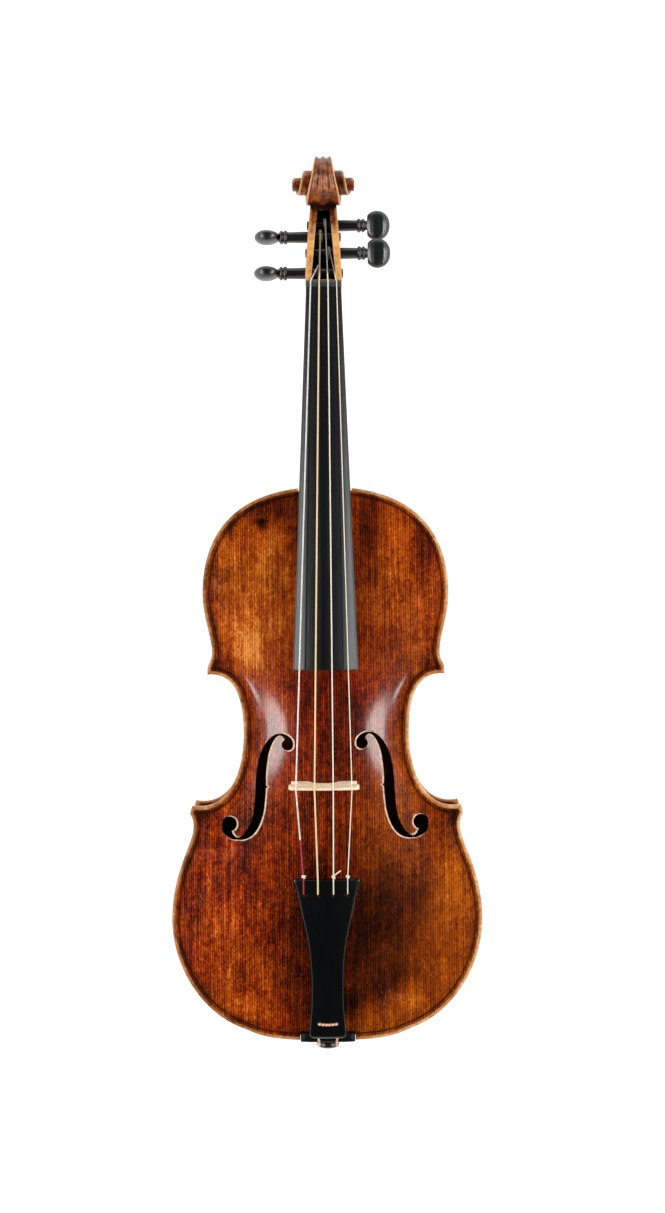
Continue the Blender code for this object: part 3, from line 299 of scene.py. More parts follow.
def plate(name, level, side, rise, wood, finish, **words):
    """Rings of the outline: out over the glue plane, round the edge in a quarter ellipse above and
    below, and in again over the arch, each ring a blend of outline and middle, up to the spine."""
    half_way = BODY_LENGTH / 2
    spine = np.stack([MIDDLE[:, 0] * 0, half_way + (MIDDLE[:, 1] - half_way) * SPINE_SHARE], axis=1)
    rim = moved_in(EDGE, RIM_WIDTH)
    rim[[0, -1], 0] = 0.0
    rings = []
    for share in (1.0, 0.8, 0.6, 0.4, 0.2, 0.0):
        ring = MIDDLE + (spine - MIDDLE) * share
        rings.append((ring, np.maximum(arched(ring, rise) - wood, 0.0) * (from_edge(ring) > GLUED_MARGIN)))
    for distance, height in ((0.9, 0.0), (0.35, 0.12), (0.08, 0.45), (0.0, 1.0), (0.0, 2.1), (0.12, 2.9),
                             (0.5, 3.55), (1.1, 3.85)):
        rings.append((moved_in(EDGE, distance), np.full(len(EDGE), height)))
    for share in (0.0, 0.06, 0.12, 0.18, 0.24, 0.3, 0.37, 0.45, 0.55, 0.67, 0.82, 1.0):
        ring = rim + (MIDDLE - rim) * share
        rings.append((ring, arched(ring, rise)))
    for share in (0.07, 0.14, 0.21, 0.28, 0.36, 0.44, 0.52, 0.6, 0.68, 0.76, 0.84, 0.92, 1.0):
        ring = MIDDLE + (spine - MIDDLE) * share
        rings.append((ring, arched(ring, rise)))
    half = np.stack([at_height(ring, level + side * height) for ring, height in rings])
    half[:, [0, -1], 0] = 0.0
    return shape(name, both_sides(half), finish, **words)


class Shade:
    """One value or colour in a finish. Arithmetic on values adds the Math nodes of the same sum."""

    def __init__(self, tree, socket):
        self.tree, self.socket = tree, socket

    def node(self, kind, settings, inputs, output=0):
        """Another node of the finish: its settings first, then the values and links of its sockets."""
        made = self.tree.nodes.new(kind)
        for name, value in settings.items():
            if name == "stops":
                ramp = made.color_ramp
                while len(ramp.elements) < len(value):
                    ramp.elements.new(0.5)
                for stop, (place, colour) in zip(ramp.elements, value):
                    stop.position, stop.color = place, colour
            else:
                setattr(made, name, value)
        for name, value in inputs.items():
            if isinstance(value, Shade):
                self.tree.links.new(value.socket, made.inputs[name])
            else:
                made.inputs[name].default_value = value
        return Shade(self.tree, made.outputs[output])

    def math(self, operation, *terms, clamp=False):
        """One Math node on any values."""
        settings = {"operation": operation, "use_clamp": clamp}
        return self.node("ShaderNodeMath", settings, dict(enumerate(terms)))

    def __add__(self, other):
        return self.math("ADD", self, other)

    def __sub__(self, other):
        return self.math("SUBTRACT", self, other)

    def __rsub__(self, other):
        return self.math("SUBTRACT", other, self)

    def __mul__(self, other):
        return self.math("MULTIPLY", self, other)

    def __truediv__(self, other):
        return self.math("DIVIDE", self, other)

    def __pow__(self, other):
        return self.math("POWER", self, other)

    __radd__ = __add__
    __rmul__ = __mul__

    def held(self):
        """The value kept between nought and one."""
        return self.math("ADD", self, 0.0, clamp=True)

    def wave(self):
        """The sine of the value."""
        return self.math("SINE", self)

    def size(self):
        """The value without its sign."""
        return self.math("ABSOLUTE", self)

    def rise(self, low, high):
        """Nought below low, one above high, and smooth between."""
        return self.node("ShaderNodeMapRange", {"interpolation_type": "SMOOTHSTEP"},
                         {"Value": self, "From Min": low, "From Max": high})

    def part(self, axis):
        """One of the three parts of a vector."""
        return self.node("ShaderNodeSeparateXYZ", {}, {0: self}, axis)

    def stretched(self, x, y, z):
        """A vector with each part multiplied."""
        return self.node("ShaderNodeVectorMath", {"operation": "MULTIPLY"}, {0: self, 1: (x, y, z)})

    def grained(self, grain, along, across):
        """A vector with the part along the grain multiplied by one number and the others by another."""
        return self.stretched(*(along if axis == grain else across for axis in range(3)))

    def cloud(self, scale, detail=2.0, rough=0.5):
        """Soft random blotches, as many to the metre as the scale says."""
        return self.node("ShaderNodeTexNoise", {}, {"Vector": self, "Scale": scale, "Detail": detail,
                                                    "Roughness": rough})

    def blend(self, first, second):
        """The first colour where the value is nought, the second where it is one."""
        return self.node("ShaderNodeMix", {"data_type": "RGBA"}, {0: self, 6: first, 7: second}, 2)

    def tones(self, *stops):
        """The colour of a place on a scale of colours."""
        return self.node("ShaderNodeValToRGB", {"stops": stops}, {"Fac": self})

    def relief(self, depth, strength=1.0):
        """A height turned into a surface direction; depth is in metres."""
        return self.node("ShaderNodeBump", {}, {"Height": self, "Distance": depth, "Strength": strength})


def tint(red, green, blue):
    """A colour named by screen values, as the linear values that the finish needs."""
    shares = (value / 255 for value in (red, green, blue))
    return (*(v / 12.92 if v <= 0.04045 else ((v + 0.055) / 1.055) ** 2.4 for v in shares), 1.0)


def finish(name, constants):
    """A finish with its constant settings, its place on the piece, and a call that feeds its varying ones."""
    made = bpy.data.materials.new(name)
    made.use_nodes = True
    shader = made.node_tree.nodes["Principled BSDF"]
    for socket, value in constants.items():
        shader.inputs[socket].default_value = value
    place = made.node_tree.nodes.new("ShaderNodeTexCoord")

    def feed(**varying):
        for socket, value in varying.items():
            made.node_tree.links.new(value.socket, shader.inputs[socket.replace("_", " ")])

    return made, Shade(made.node_tree, place.outputs["Object"]), feed


def mark_of(place, name):
    """A value painted on the points of the piece."""
    return place.node("ShaderNodeAttribute", {"attribute_name": name}, {}, 2)


VARNISH = {"Coat Weight": 0.8, "Coat Roughness": 0.13, "Coat IOR": 1.5, "Specular IOR Level": 0.05}


def varnished_maple(name, grain, across, tilt, edges):
    """Oil varnish over flamed maple: the flames cross the grain, leaning by tilt from the middle joint,
    and the pores run with it. The rim is worn to golden wood and dirt has darkened the varnish inside."""
    made, place, feed = finish(name, VARNISH)
    slow = place.cloud(22.0, 3.0, 0.6)
    lean = place.part(grain) + place.part(across).size() * tilt
    flame = ((lean + slow * 0.012) * 820.0 + place.cloud(60.0, 1.0) * 3.0).wave() * 0.5 + 0.5
    broken = place.cloud(45.0, 2.0).rise(0.35, 0.65)
    pores = place.grained(grain, 90.0, 1400.0).cloud(1.0, 2.0, 0.6)
    mottle = place.cloud(160.0, 3.0, 0.7)
    tone = (slow * 0.75 + flame * broken * 0.26 + pores * 0.22 - 0.14 + mottle * 0.16).held()
    colour = tone.tones((0.0, tint(46, 16, 7)), (0.3, tint(104, 38, 10)), (0.52, tint(152, 66, 16)),
                        (0.72, tint(186, 96, 26)), (1.0, tint(224, 148, 62)))
    if edges:
        edge = mark_of(place, "edge")
        ragged = place.cloud(260.0, 3.0, 0.7) * 2.2
        dirt = (edge + ragged).rise(14.0, 5.5) * 0.62
        colour = dirt.blend(colour, tint(46, 18, 8))
        purfling = (edge - 4.55).size()
        colour = purfling.rise(0.72, 0.6).blend(colour, tint(30, 16, 9))
        colour = purfling.rise(0.3, 0.2).blend(colour, tint(168, 112, 52))
        colour = (edge + ragged * 0.8).rise(3.4, 1.9).blend(colour, tint(206, 146, 86))
    feed(Base_Color=colour, Roughness=0.44 - flame * 0.08 + place.cloud(300.0, 2.0) * 0.14,
         Normal=(pores * 0.6 + flame * 0.25 + place.cloud(700.0, 2.0)).relief(0.00012, 0.5))
    return made


def tool_of(name, rings, cut_finish=None):
    """A throwaway cutter from rings of points, with a lid at each end. Its finish stays on the cut."""
    return shape(name, [(rings, True)], cut_finish, body=None, lids=(rings[0], rings[-1]))


back_finish = varnished_maple("flamed maple back, varnished", 1, 0, 0.22, True)
carved_back = plate("carved_back", BACK_INSIDE, -1, BACK_RISE, BACK_WOOD, back_finish,
                    slot="varnished_maple", stands_for=("back_plate",))

# The button: a disc with a rounded edge, more than half of it beyond the end of the sound box
BUTTON_RADIUS, BUTTON_MIDDLE = 10.6, BODY_LENGTH + 2
circle = np.column_stack([np.cos(full_turn(64)), np.sin(full_turn(64))])
button = np.stack([at_height((0.0, BUTTON_MIDDLE) + circle * (BUTTON_RADIUS - soft), height)
                   for soft, height in ((0.0, 17.95), (0.0, 15.3), (0.3, 14.6), (1.0, 14.3))])
worked(carved_back, [tool_of("button", button)], "UNION")
mark(carved_back, "edge", from_edge(plan_of(carved_back)[:, :2]))


# Blocks, linings, bass bar and sound post: six willow blocks fill the corners and ends of the sound box,
# and willow strips line the joints of ribs and plates. A spruce bar is glued under the top, and a
# spruce post stands between the plates. All are bare wood, greyed with age.
def bare_wood(name, dark, pale, grain):
    """Unvarnished wood: fine streaks with the grain over slow patches of dust."""
    made, place, feed = finish(name, {"Specular IOR Level": 0.25})
    streaks = place.grained(grain, 30.0, 900.0).cloud(1.0, 3.0, 0.65)
    tone = (streaks * 0.7 + place.cloud(35.0, 3.0) * 0.5 - 0.1).held()
    feed(Base_Color=tone.tones((0.15, dark), (0.85, pale)), Roughness=0.72 + streaks * 0.2,
         Normal=streaks.relief(0.00015, 0.6))
    return made


def refinished(names, finish):
    """Gives solids that stay as they are a better finish."""
    for name in names:
        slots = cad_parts[name].data.materials
        slots.clear()
        slots.append(finish)


willow = bare_wood("bare willow, aged", tint(96, 66, 40), tint(176, 138, 94), 2)
bare_spruce = bare_wood("bare spruce, aged", tint(116, 82, 50), tint(196, 160, 112), 1)
refinished([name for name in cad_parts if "block" in name or "lining" in name], willow)
refinished(("bass_bar", "sound_post"), bare_spruce)


# Ribs: six strips of flamed maple just over a millimetre thick, bent over a hot iron to the outline and
# glued to the blocks, mitred at the four corners and butted at the tail and under the heel.
TOP_INSIDE = 48.0
OVERHANG, RIB_WOOD = 2.8, 1.2
LOWER_CORNER, UPPER_CORNER = 24 * FINER, 41 * FINER
RIB_GAP = 0.03
RIB_POINTS = 120
NEAR_CORNER, DRAWN_ON = 30, 6


def meet(first, second):
    """Where the end of one line, drawn on, crosses the start of the next; both are trimmed there."""
    a = np.vstack([first[-NEAR_CORNER:], first[-1] + DRAWN_ON * (first[-1] - first[-2])])
    b = np.vstack([second[0] - DRAWN_ON * (second[1] - second[0]), second[:NEAR_CORNER]])
    p, r = a[:-1, None], np.diff(a, axis=0)[:, None]
    q, s = b[None, :-1], np.diff(b, axis=0)[None]
    cross = r[..., 0] * s[..., 1] - r[..., 1] * s[..., 0]
    t = ((q - p)[..., 0] * s[..., 1] - (q - p)[..., 1] * s[..., 0]) / cross
    u = ((q - p)[..., 0] * r[..., 1] - (q - p)[..., 1] * r[..., 0]) / cross
    i, j = np.argwhere((t >= 0) & (t <= 1) & (u >= 0) & (u <= 1))[-1]
    spot = a[i] + t[i, j] * r[i, 0]
    return (np.vstack([first[:-NEAR_CORNER], a[:i + 1], spot]),
            np.vstack([spot, b[j + 1:], second[NEAR_CORNER:]]))


def bout_lines(distance):
    """Lower, centre and upper bouts, drawn in from the outline to where they meet at the corners."""
    lower = moved_in(EDGE[:LOWER_CORNER + 1], distance)
    centre = moved_in(EDGE[LOWER_CORNER + FINER:UPPER_CORNER - FINER + 1], distance)
    upper = moved_in(EDGE[UPPER_CORNER:], distance)
    lower, centre = meet(lower, centre)
    centre, upper = meet(centre, upper)
    lower[0, 0] = upper[-1, 0] = 0.0
    return lower, centre, upper


def evenly(line, start, end, count):
    """Points at even steps along a line, from one distance to another, the second from its end."""
    far = distances(line)
    steps = np.linspace(start, far[-1] - end, count)
    return np.column_stack([np.interp(steps, far, line[:, axis]) for axis in (0, 1)])


rib_finish = varnished_maple("flamed maple ribs, varnished", 1, 2, 0, False)
rib_low, rib_high = BACK_INSIDE + RIB_GAP, TOP_INSIDE - RIB_GAP
END_GAPS = (("lower", 0.15, 0.2), ("centre", 0.2, 0.2), ("upper", 0.2, 0.15))
for (part, *gaps), outer, inner in zip(END_GAPS, bout_lines(OVERHANG), bout_lines(OVERHANG + RIB_WOOD)):
    outside, inside = evenly(outer, *gaps, RIB_POINTS), evenly(inner, *gaps, RIB_POINTS)
    section = np.stack([at_height(line, level) for line, level in (
        (outside, rib_low), (outside, rib_high), (inside, rib_high), (inside, rib_low))], axis=1)
    first_end, last_end = (section[:1] * 0 + end.mean(axis=0) for end in (section[0], section[-1]))
    strip = np.concatenate([first_end, section, last_end])
    for side, label in ((-1, "left"), (1, "right")):
        shape("bent_rib_%s_%s" % (part, label), [(strip * (side, 1, 1), True)], rib_finish,
              slot="varnished_maple", stands_for=("%s_rib_%s" % (part, label),))


# Top plate: two book-matched boards of fine spruce, arched like the back and pierced by two curved sound
# holes, each with a nick at its middle. The varnish is worn to the wood along the rim, and rosin and
# dirt have darkened it beside the edge and the fingerboard. Beside the tailpiece the darkening is partly
# dirt and partly painted shadow of the tailpiece, and a few pale places on the waist and the lower right
# bout are painted highlights where the lamps' reflections fall.
TOP_RISE, TOP_WOOD = 11.5, 3.3
NECK_ROOT = 354.0
# A sound hole: its two eyes, across, along and radius, its middle line as Bezier pieces, and its half
# width at places counted in their steps
LOWER_EYE, UPPER_EYE = (61.4, 140.5, 4.75), (23.7, 191.4, 3.6)
HOLE_START = (22.6, 192.2)
BEVEL_LEAST, BEVEL_MORE = 0.3, 0.5
HOLE_PATH = (((22.8, 195.2), (25.4, 197.9), (28.7, 198.0), 4),
             ((33.4, 197.7), (38.0, 189.5), (39.7, 180.6), 6),
             ((40.9, 173.5), (41.0, 170.0), (41.1, 164.6), 3),
             ((41.2, 161.0), (41.4, 158.5), (41.8, 154.3), 2),
             ((42.5, 143.5), (47.0, 131.6), (56.2, 131.1), 7),
             ((60.0, 131.2), (63.6, 135.6), (63.8, 139.6), 4))
HOLE_HALVES = ((0, 1, 2, 4, 6, 10, 13, 16, 19, 20, 22, 23, 25, 26),
               (2.6, 2.2, 1.5, 0.6, 1.3, 2.9, 3.4, 3.25, 2.7, 2.2, 0.6, 1.3, 2.9, 2.2))
# Dark places on the varnish: across, along, half width, half length, strength. The broad ones at along 70
# and 74, over and beside the tailpiece, are partly dirt and partly painted shadow of the tailpiece.
STAINS_AND_PAINTED_SHADOW = ((-40.5, 333.0, 2.6, 3.2, 0.9), (12.5, 160.0, 1.2, 1.6, 0.6), (0.0, 70.0, 30.0, 66.0, 0.42),
          (36.0, 74.0, 18.0, 40.0, 0.26), (14.0, 205.0, 14.0, 45.0, 0.28), (-8.0, 205.0, 18.0, 50.0, 0.2),
          (52.0, 96.0, 16.0, 34.0, 0.2), (66.0, 320.0, 12.0, 26.0, 0.3), (26.0, 322.0, 8.0, 30.0, 0.2),
          (-18.0, 322.0, 5.0, 22.0, 0.18), (-50.0, 346.0, 22.0, 9.0, 0.46), (-63.0, 333.0, 9.0, 10.0, 0.3),
          (-80.0, 72.0, 18.0, 34.0, 0.1), (44.0, 42.0, 14.0, 12.0, 0.18), (13.0, 25.0, 7.0, 8.0, 0.35),
          (-74.0, 236.0, 10.0, 14.0, 0.4), (72.0, 240.0, 10.0, 14.0, 0.34), (-84.0, 150.0, 12.0, 16.0, 0.3),
          (84.0, 148.0, 10.0, 14.0, 0.4), (-88.0, 76.0, 8.0, 34.0, 0.2), (36.0, 30.0, 14.0, 12.0, 0.2),
          (-52.0, 118.0, 10.0, 30.0, 0.2), (44.0, 250.0, 12.0, 40.0, 0.16))
# Worn, paler places, the same way. The one at along 249 on the left and the one at along 27 on the right
# are painted highlights, where the lamps' reflections fall.
WEAR_AND_PAINTED_HIGHLIGHT = ((-34.0, 318.0, 9.0, 11.0, 0.24), (-48.0, 249.0, 9.0, 15.0, 0.28), (75.0, 300.0, 8.0, 14.0, 0.22),
        (75.0, 272.0, 8.0, 12.0, 0.16), (-50.0, 285.0, 24.0, 46.0, 0.14), (46.0, 300.0, 20.0, 44.0, 0.12),
        (-36.0, 262.0, 12.0, 18.0, 0.1), (50.0, 27.0, 12.0, 8.0, 0.26), (-52.0, 24.0, 14.0, 8.0, 0.2),
        (-70.0, 52.0, 14.0, 12.0, 0.1), (80.0, 100.0, 8.0, 30.0, 0.12))
# Scuffed places, where the surface is scratched grey and pink. The one at along 220 on the left and the one
# at along 26 on the right are painted highlights, streaked like the lamps' reflections there.
SCUFFS_AND_PAINTED_HIGHLIGHT = ((-80.0, 90.0, 12.0, 40.0, 0.9), (-66.0, 300.0, 10.0, 36.0, 0.7), (-44.0, 168.0, 8.0, 16.0, 0.8),
          (-66.0, 128.0, 14.0, 14.0, 0.8), (47.0, 26.0, 13.0, 10.0, 1.1), (60.0, 140.0, 12.0, 10.0, 0.5),
          (-40.0, 220.0, 16.0, 30.0, 0.5))
# Places where the wood's figure is quieter, or livelier, and where the varnish is redder, or more golden
CALM = ((45.0, 70.0, 46.0, 60.0, 1.0), (-62.0, 80.0, 44.0, 90.0, -0.8))
RED = ((0.0, 215.0, 34.0, 60.0, 0.6), (-66.0, 90.0, 46.0, 90.0, 0.4), (66.0, 60.0, 50.0, 90.0, -0.8),
       (-30.0, 300.0, 50.0, 50.0, -0.2))


def eye_edge(x, y, radius, start, end):
    """An arc of a sound hole's eye, from one angle in degrees to another."""
    angle = np.radians(np.linspace(start, end, 12 * FINER))
    return np.column_stack([x + radius * np.cos(angle), y + radius * np.sin(angle)])


def hole_edge():
    """Outline of a sound hole: its middle path moved out by a half width to each side, with a nick cut
    into the inner side at its middle, and run into a round eye at each end."""
    path = drawn(HOLE_START, HOLE_PATH)
    place = np.arange(len(path)) / FINER
    half = np.interp(place, *HOLE_HALVES)
    across = moved_in(path, 1.0) - path
    inner, outer = path - across * half[:, None], path + across * half[:, None]
    middle = 13 * FINER
    nick = inner[middle] + ((0.0, 0.9), (-1.3, 0.0), (0.0, -0.9))
    lower = eye_edge(*LOWER_EYE, -10.0, 252.0)
    upper = eye_edge(*UPPER_EYE, 165.0, 420.0)
    from_upper_eye, to_lower_eye = 2 * FINER, 24 * FINER
    return np.vstack([inner[from_upper_eye:middle], nick, inner[middle + 1:], lower,
                      outer[to_lower_eye::-1], upper])


def hole_tool(name, side):
    """A cutter for a sound hole: straight walls up to just under the arch, then a bevel, wider on the side
    towards the strings. The left hole stands a little lower and further out than the right one."""
    edge = (hole_edge() - (side, -side * 0.5)) * (side, 1)
    step = np.roll(edge, -1, axis=0) - np.roll(edge, 1, axis=0)
    out = np.stack([step[:, 1], -step[:, 0]], axis=1) / np.linalg.norm(step, axis=1)[:, None] * side
    level = TOP_INSIDE + arched(edge, TOP_RISE)
    bevel = BEVEL_LEAST + BEVEL_MORE * np.clip(-out[:, 0] * side + 0.2, 0, 1)
    mouth = edge + out * (bevel * 1.2)[:, None]
    rings = [at_height(edge, TOP_INSIDE - 2), at_height(edge, level - bevel * 0.6),
             at_height(mouth, level + bevel * 0.12), at_height(mouth, TOP_INSIDE + 20)]
    return shape(name, [(np.stack(rings), True)], cut_wood, body=None, lids=(rings[0], rings[-1]))


def varnished_spruce():
    """Oil varnish over spruce: narrow dark winter lines run lengthways under clouds of red, gold and
    brown, crazed and specked with dirt in the pores, scuffed in places, and worn off the rim. Marked
    places also add painted shadow beside the tailpiece and painted highlights on the waist and the
    lower right bout."""
    made, place, feed = finish("fine spruce, varnished and worn", VARNISH)
    edge, stain = mark_of(place, "edge"), mark_of(place, "stain")
    wander = place.stretched(1.0, 0.25, 1.0).cloud(30.0, 2.0) * 0.0016
    ring = place.stretched(500.0, 5.0, 5.0).cloud(1.0, 1.0, 0.4)
    lines = (((place.part(0).size() + wander) * 4200.0 + ring * 5.0).wave() * 0.5 + 0.5) ** 2.0
    streak = place.stretched(580.0, 17.0, 50.0).cloud(1.0, 4.0, 0.62)
    broad = place.cloud(17.0, 3.0, 0.55)
    patch = place.stretched(70.0, 42.0, 50.0).cloud(1.0, 4.0, 0.7)
    mottle = place.stretched(300.0, 190.0, 250.0).cloud(1.0, 3.0, 0.7)
    craze = place.stretched(1000.0, 520.0, 800.0).cloud(1.0, 2.0, 0.7)
    specks = place.stretched(760.0, 500.0, 700.0).cloud(1.0, 3.0, 0.75).rise(0.55, 0.66)
    calm = mark_of(place, "calm")
    restless = 1.05 - calm * 0.45
    clouds = (patch - 0.5) * 0.68 + (mottle - 0.5) * 0.6 + (craze - 0.5) * 0.7 - specks * 0.26
    growth = (streak - 0.5) * 0.84 - lines * 0.23
    # Taken off the tone: the stain mark, which holds stains and wear, painted shadow beside the tailpiece and
    # painted highlights
    tone = (0.585 + (broad - 0.5) * 0.42 + clouds * restless + growth * (1.0 - calm * 0.4) - stain).held()
    gold = tone.tones((0.0, tint(18, 6, 1)), (0.2, tint(68, 22, 1)), (0.4, tint(116, 45, 2)),
                      (0.6, tint(164, 72, 4)), (0.8, tint(206, 106, 15)), (1.0, tint(238, 158, 66)))
    red = tone.tones((0.0, tint(20, 5, 2)), (0.2, tint(82, 16, 1)), (0.4, tint(130, 34, 2)),
                     (0.6, tint(176, 60, 5)), (0.8, tint(208, 92, 18)), (1.0, tint(236, 144, 80)))
    redder = (place.cloud(26.0, 2.0) * 1.6 - 0.3 + mark_of(place, "red")).held()
    colour = redder.blend(gold, red)
    scratches = place.stretched(1500.0, 300.0, 900.0).cloud(1.0, 3.0, 0.6).rise(0.54, 0.64)
    # Scuffs lighten the varnish to pink-grey; at two of the marked places this is painted highlight
    scuffs_and_highlights = scratches * (mark_of(place, "scuff") * place.cloud(120.0, 3.0, 0.7).rise(0.42, 0.6)).held()
    colour = (scuffs_and_highlights * 0.55).blend(colour, tint(184, 122, 98))
    ragged = (place.cloud(180.0, 4.0, 0.75) - 0.5) * 6.0
    dirt = (edge + ragged).rise(8.5, 3.0) * (0.12 + place.cloud(40.0, 2.0).rise(0.4, 0.62) * 0.7)
    dirt = dirt * (0.5 + place.part(0).rise(0.06, -0.04) * 0.5)
    colour = dirt.blend(colour, tint(52, 17, 5))
    purfling = (edge - 4.4).size()
    colour = (purfling.rise(0.72, 0.45) * 0.78).blend(colour, tint(32, 12, 4))
    rim = (edge + ragged * 0.22).rise(2.8, 1.6)
    left_side = place.part(0).rise(0.0, -0.06)
    worn = (place.cloud(420.0, 3.0, 0.7) * 0.9 + place.cloud(60.0) - 0.4 - left_side * 0.22).held()
    colour = rim.blend(colour, worn.tones((0.1, tint(116, 60, 22)), (0.5, tint(202, 132, 70)),
                                          (0.9, tint(246, 204, 152))))
    feed(Base_Color=colour, Roughness=0.22 + lines * 0.04 + specks * 0.18 + mottle * 0.06,
         Normal=(lines * -0.5 - specks * 0.7 + craze + patch).relief(0.00016, 0.7))
    return made


def cut_edge_wood():
    """Walls of the sound holes, black with age; their upper arris is worn pale on the side towards the
    strings, where the face turns away from the middle line."""
    made, place, feed = finish("end grain of the sound holes, dark with age", {"Specular IOR Level": 0.2})
    face = place.node("ShaderNodeNewGeometry", {}, {}, 1)
    worn = face.part(2).rise(0.2, 0.4) * (face.part(0) * place.part(0)).rise(-0.012, 0.004)
    tone = place.cloud(400.0, 3.0, 0.7)
    pale = tone.tones((0.3, tint(186, 138, 96)), (0.6, tint(250, 226, 192)))
    feed(Base_Color=worn.blend(tint(16, 8, 5), pale), Roughness=tone * 0.2 + 0.5)
    return made


cut_wood = cut_edge_wood()
carved_top = plate("carved_top", TOP_INSIDE, 1, TOP_RISE, TOP_WOOD, varnished_spruce(),
                   slot="varnished_spruce", stands_for=("top_plate",))
tools = [hole_tool("f_hole_" + label, side) for side, label in ((-1, "left"), (1, "right"))]


def block_tool(name, low, high):
    """A rectangular cutter between two corners."""
    corners = ((low[0], low[1]), (high[0], low[1]), (high[0], high[1]), (low[0], high[1]))
    return tool_of(name, np.stack([at_height(corners, level) for level in (low[2], high[2])]))


# The neck and the saddle are let into the edge of the top
NECK_NOTCH_HALF, SADDLE_NOTCH_HALF, SADDLE_NOTCH_END = 17.2, 17.8, 6.1
tools.append(block_tool("neck_notch", (-NECK_NOTCH_HALF, NECK_ROOT - 0.3, 40),
                        (NECK_NOTCH_HALF, BODY_LENGTH + 5, 60)))
tools.append(block_tool("saddle_notch", (-SADDLE_NOTCH_HALF, -2, 40),
                        (SADDLE_NOTCH_HALF, SADDLE_NOTCH_END, 60)))
worked(carved_top, tools, solver="MANIFOLD")
plan = plan_of(carved_top)[:, :2]
mark(carved_top, "edge", from_edge(plan))


def spots_on(plan, places):
    """Sum of soft round marks, each its strength times exp of minus the squared share of its size."""
    return sum(strength * np.exp(-((plan[:, 0] - x) / wide) ** 2 - ((plan[:, 1] - y) / long) ** 2)
               for x, y, wide, long, strength in places)


# Dark places less pale ones, among them painted shadow by the tailpiece and painted highlights
mark(carved_top, "stain", spots_on(plan, STAINS_AND_PAINTED_SHADOW) - spots_on(plan, WEAR_AND_PAINTED_HIGHLIGHT))
# Scuffed places, two of them painted highlights
mark(carved_top, "scuff", spots_on(plan, SCUFFS_AND_PAINTED_HIGHLIGHT))
mark(carved_top, "calm", spots_on(plan, CALM))
mark(carved_top, "red", spots_on(plan, RED))


# Neck, pegbox and scroll: one piece of maple. The neck is rounded underneath, the pegbox is hollowed from
# the front, and the scroll winds outwards in two and a quarter turns to its eyes, with two flutes
# over its back. Golden wood shows where hands have rubbed the varnish off.
NECK_PLANE, NECK_FALL = 57.0, 0.0215
HANDLE_SLIM, HANDLE_TAPER = 14.6, 1.4
NUT_FRONT, NUT_BACK, NUT_HALF = 483.4, 488.2, 11.3
BOARD_END, BOARD_END_HALF = 239.2, 20.7
EYE = np.array((555.9, 27.0))
SPIRAL_START, SPIRAL_FALL = 19.1, 0.71
# Degrees round the spiral of the chin under the scroll and of the eye, and their rows in its sheets
CHIN, CHIN_ROW = 195.0, 90
EYE_TURN, EYE_ROW = 807.0, 153
EYE_RADIUS = SPIRAL_START * SPIRAL_FALL ** (EYE_TURN / 180)
TURN_STEP = 4.0
# Side view of the pegbox and throat: its back and front lines, along and up, and half widths
HEAD_BACKS = ((484.0, 37.0), (489.5, 30.0), (496.0, 25.2), (506.0, 20.6), (516.5, 16.2), (525.5, 12.4),
              (533.5, 8.7))
HEAD_FRONTS = ((482.0, 54.2), (488.4, 54.0), (495.0, 50.5), (507.0, 43.8), (520.0, 36.6), (532.0, 29.9))
HEAD_HALVES = (11.5, 11.75, 11.7, 11.1, 10.4, 9.6, 8.8)
THROAT_TURNS = (-165.0, -150.0, -135.0, -120.0, -105.0)
THROAT_BACKS = ((533.5, 8.7), (538.6, 6.1), (543.4, 3.9), (547.8, 2.3), (552.0, 1.5))
SCROLL_TURNS = (-165, -90, 0, 70, 126, 180, 360, 540, 640, 807)
SCROLL_HALVES = (8.8, 6.9, 5.45, 7.2, 10.3, 11.5, 13.0, 17.0, 18.8, 19.6)


def through(points, steps):
    """A smooth line through points (Catmull-Rom): between two of them, the cubic that has at each the
    slope of the chord between its neighbours, at even steps."""
    points = np.array(points, float)
    ends = np.vstack([2 * points[0] - points[1], points, 2 * points[-1] - points[-2]])
    t = np.linspace(0, 1, steps + 1)[:-1, None, None]
    a, b, c, d = ends[:-3], ends[1:-2], ends[2:-1], ends[3:]
    line = 0.5 * (2 * b + (c - a) * t + (2 * a - 5 * b + 4 * c - d) * t ** 2
                  + (3 * b - 3 * c + d - a) * t ** 3)
    return np.vstack([line.transpose(1, 0, 2).reshape(-1, points.shape[1]), points[-1:]])


def neck_top(y):
    """Height of the face that the fingerboard is glued to."""
    return NECK_PLANE - (y - NECK_ROOT) * NECK_FALL


def board_half(y):
    """Half the width of the fingerboard, which the neck shares."""
    return NUT_HALF + (BOARD_END_HALF - NUT_HALF) * (NUT_FRONT - y) / (NUT_FRONT - BOARD_END)


def volute(turn):
    """Side view of the spiral: radius 19.1 times 0.71 to the power of half turns, down to the eye;
    under the scroll it swells a little, and before that it follows the back of the throat."""
    radius = SPIRAL_START * SPIRAL_FALL ** (turn / 180.0)
    radius = radius * np.where(turn < 0, 1 + 0.13 * np.sin(np.radians(turn)) ** 2, 1.0)
    radius = np.maximum(radius, EYE_RADIUS)
    spot = EYE + radius[:, None] * np.stack([np.cos(np.radians(turn)), np.sin(np.radians(turn))], axis=1)
    under = EYE + SPIRAL_START * SPIRAL_FALL ** -0.5 * 1.13 * np.array((0.0, -1.0))
    throat = through((*THROAT_BACKS, under), 8)
    known = np.linspace(THROAT_TURNS[0], -90.0, len(throat))
    early = np.stack([np.interp(turn, known, throat[:, axis]) for axis in (0, 1)], axis=1)
    return np.where((turn < -90.0)[:, None], early, spot)


def scroll_half(turn):
    """Half the width of the scroll at an angle round its spiral."""
    line = through(np.column_stack([SCROLL_TURNS, SCROLL_HALVES]), 12)
    return np.interp(turn, line[:, 0], line[:, 1])


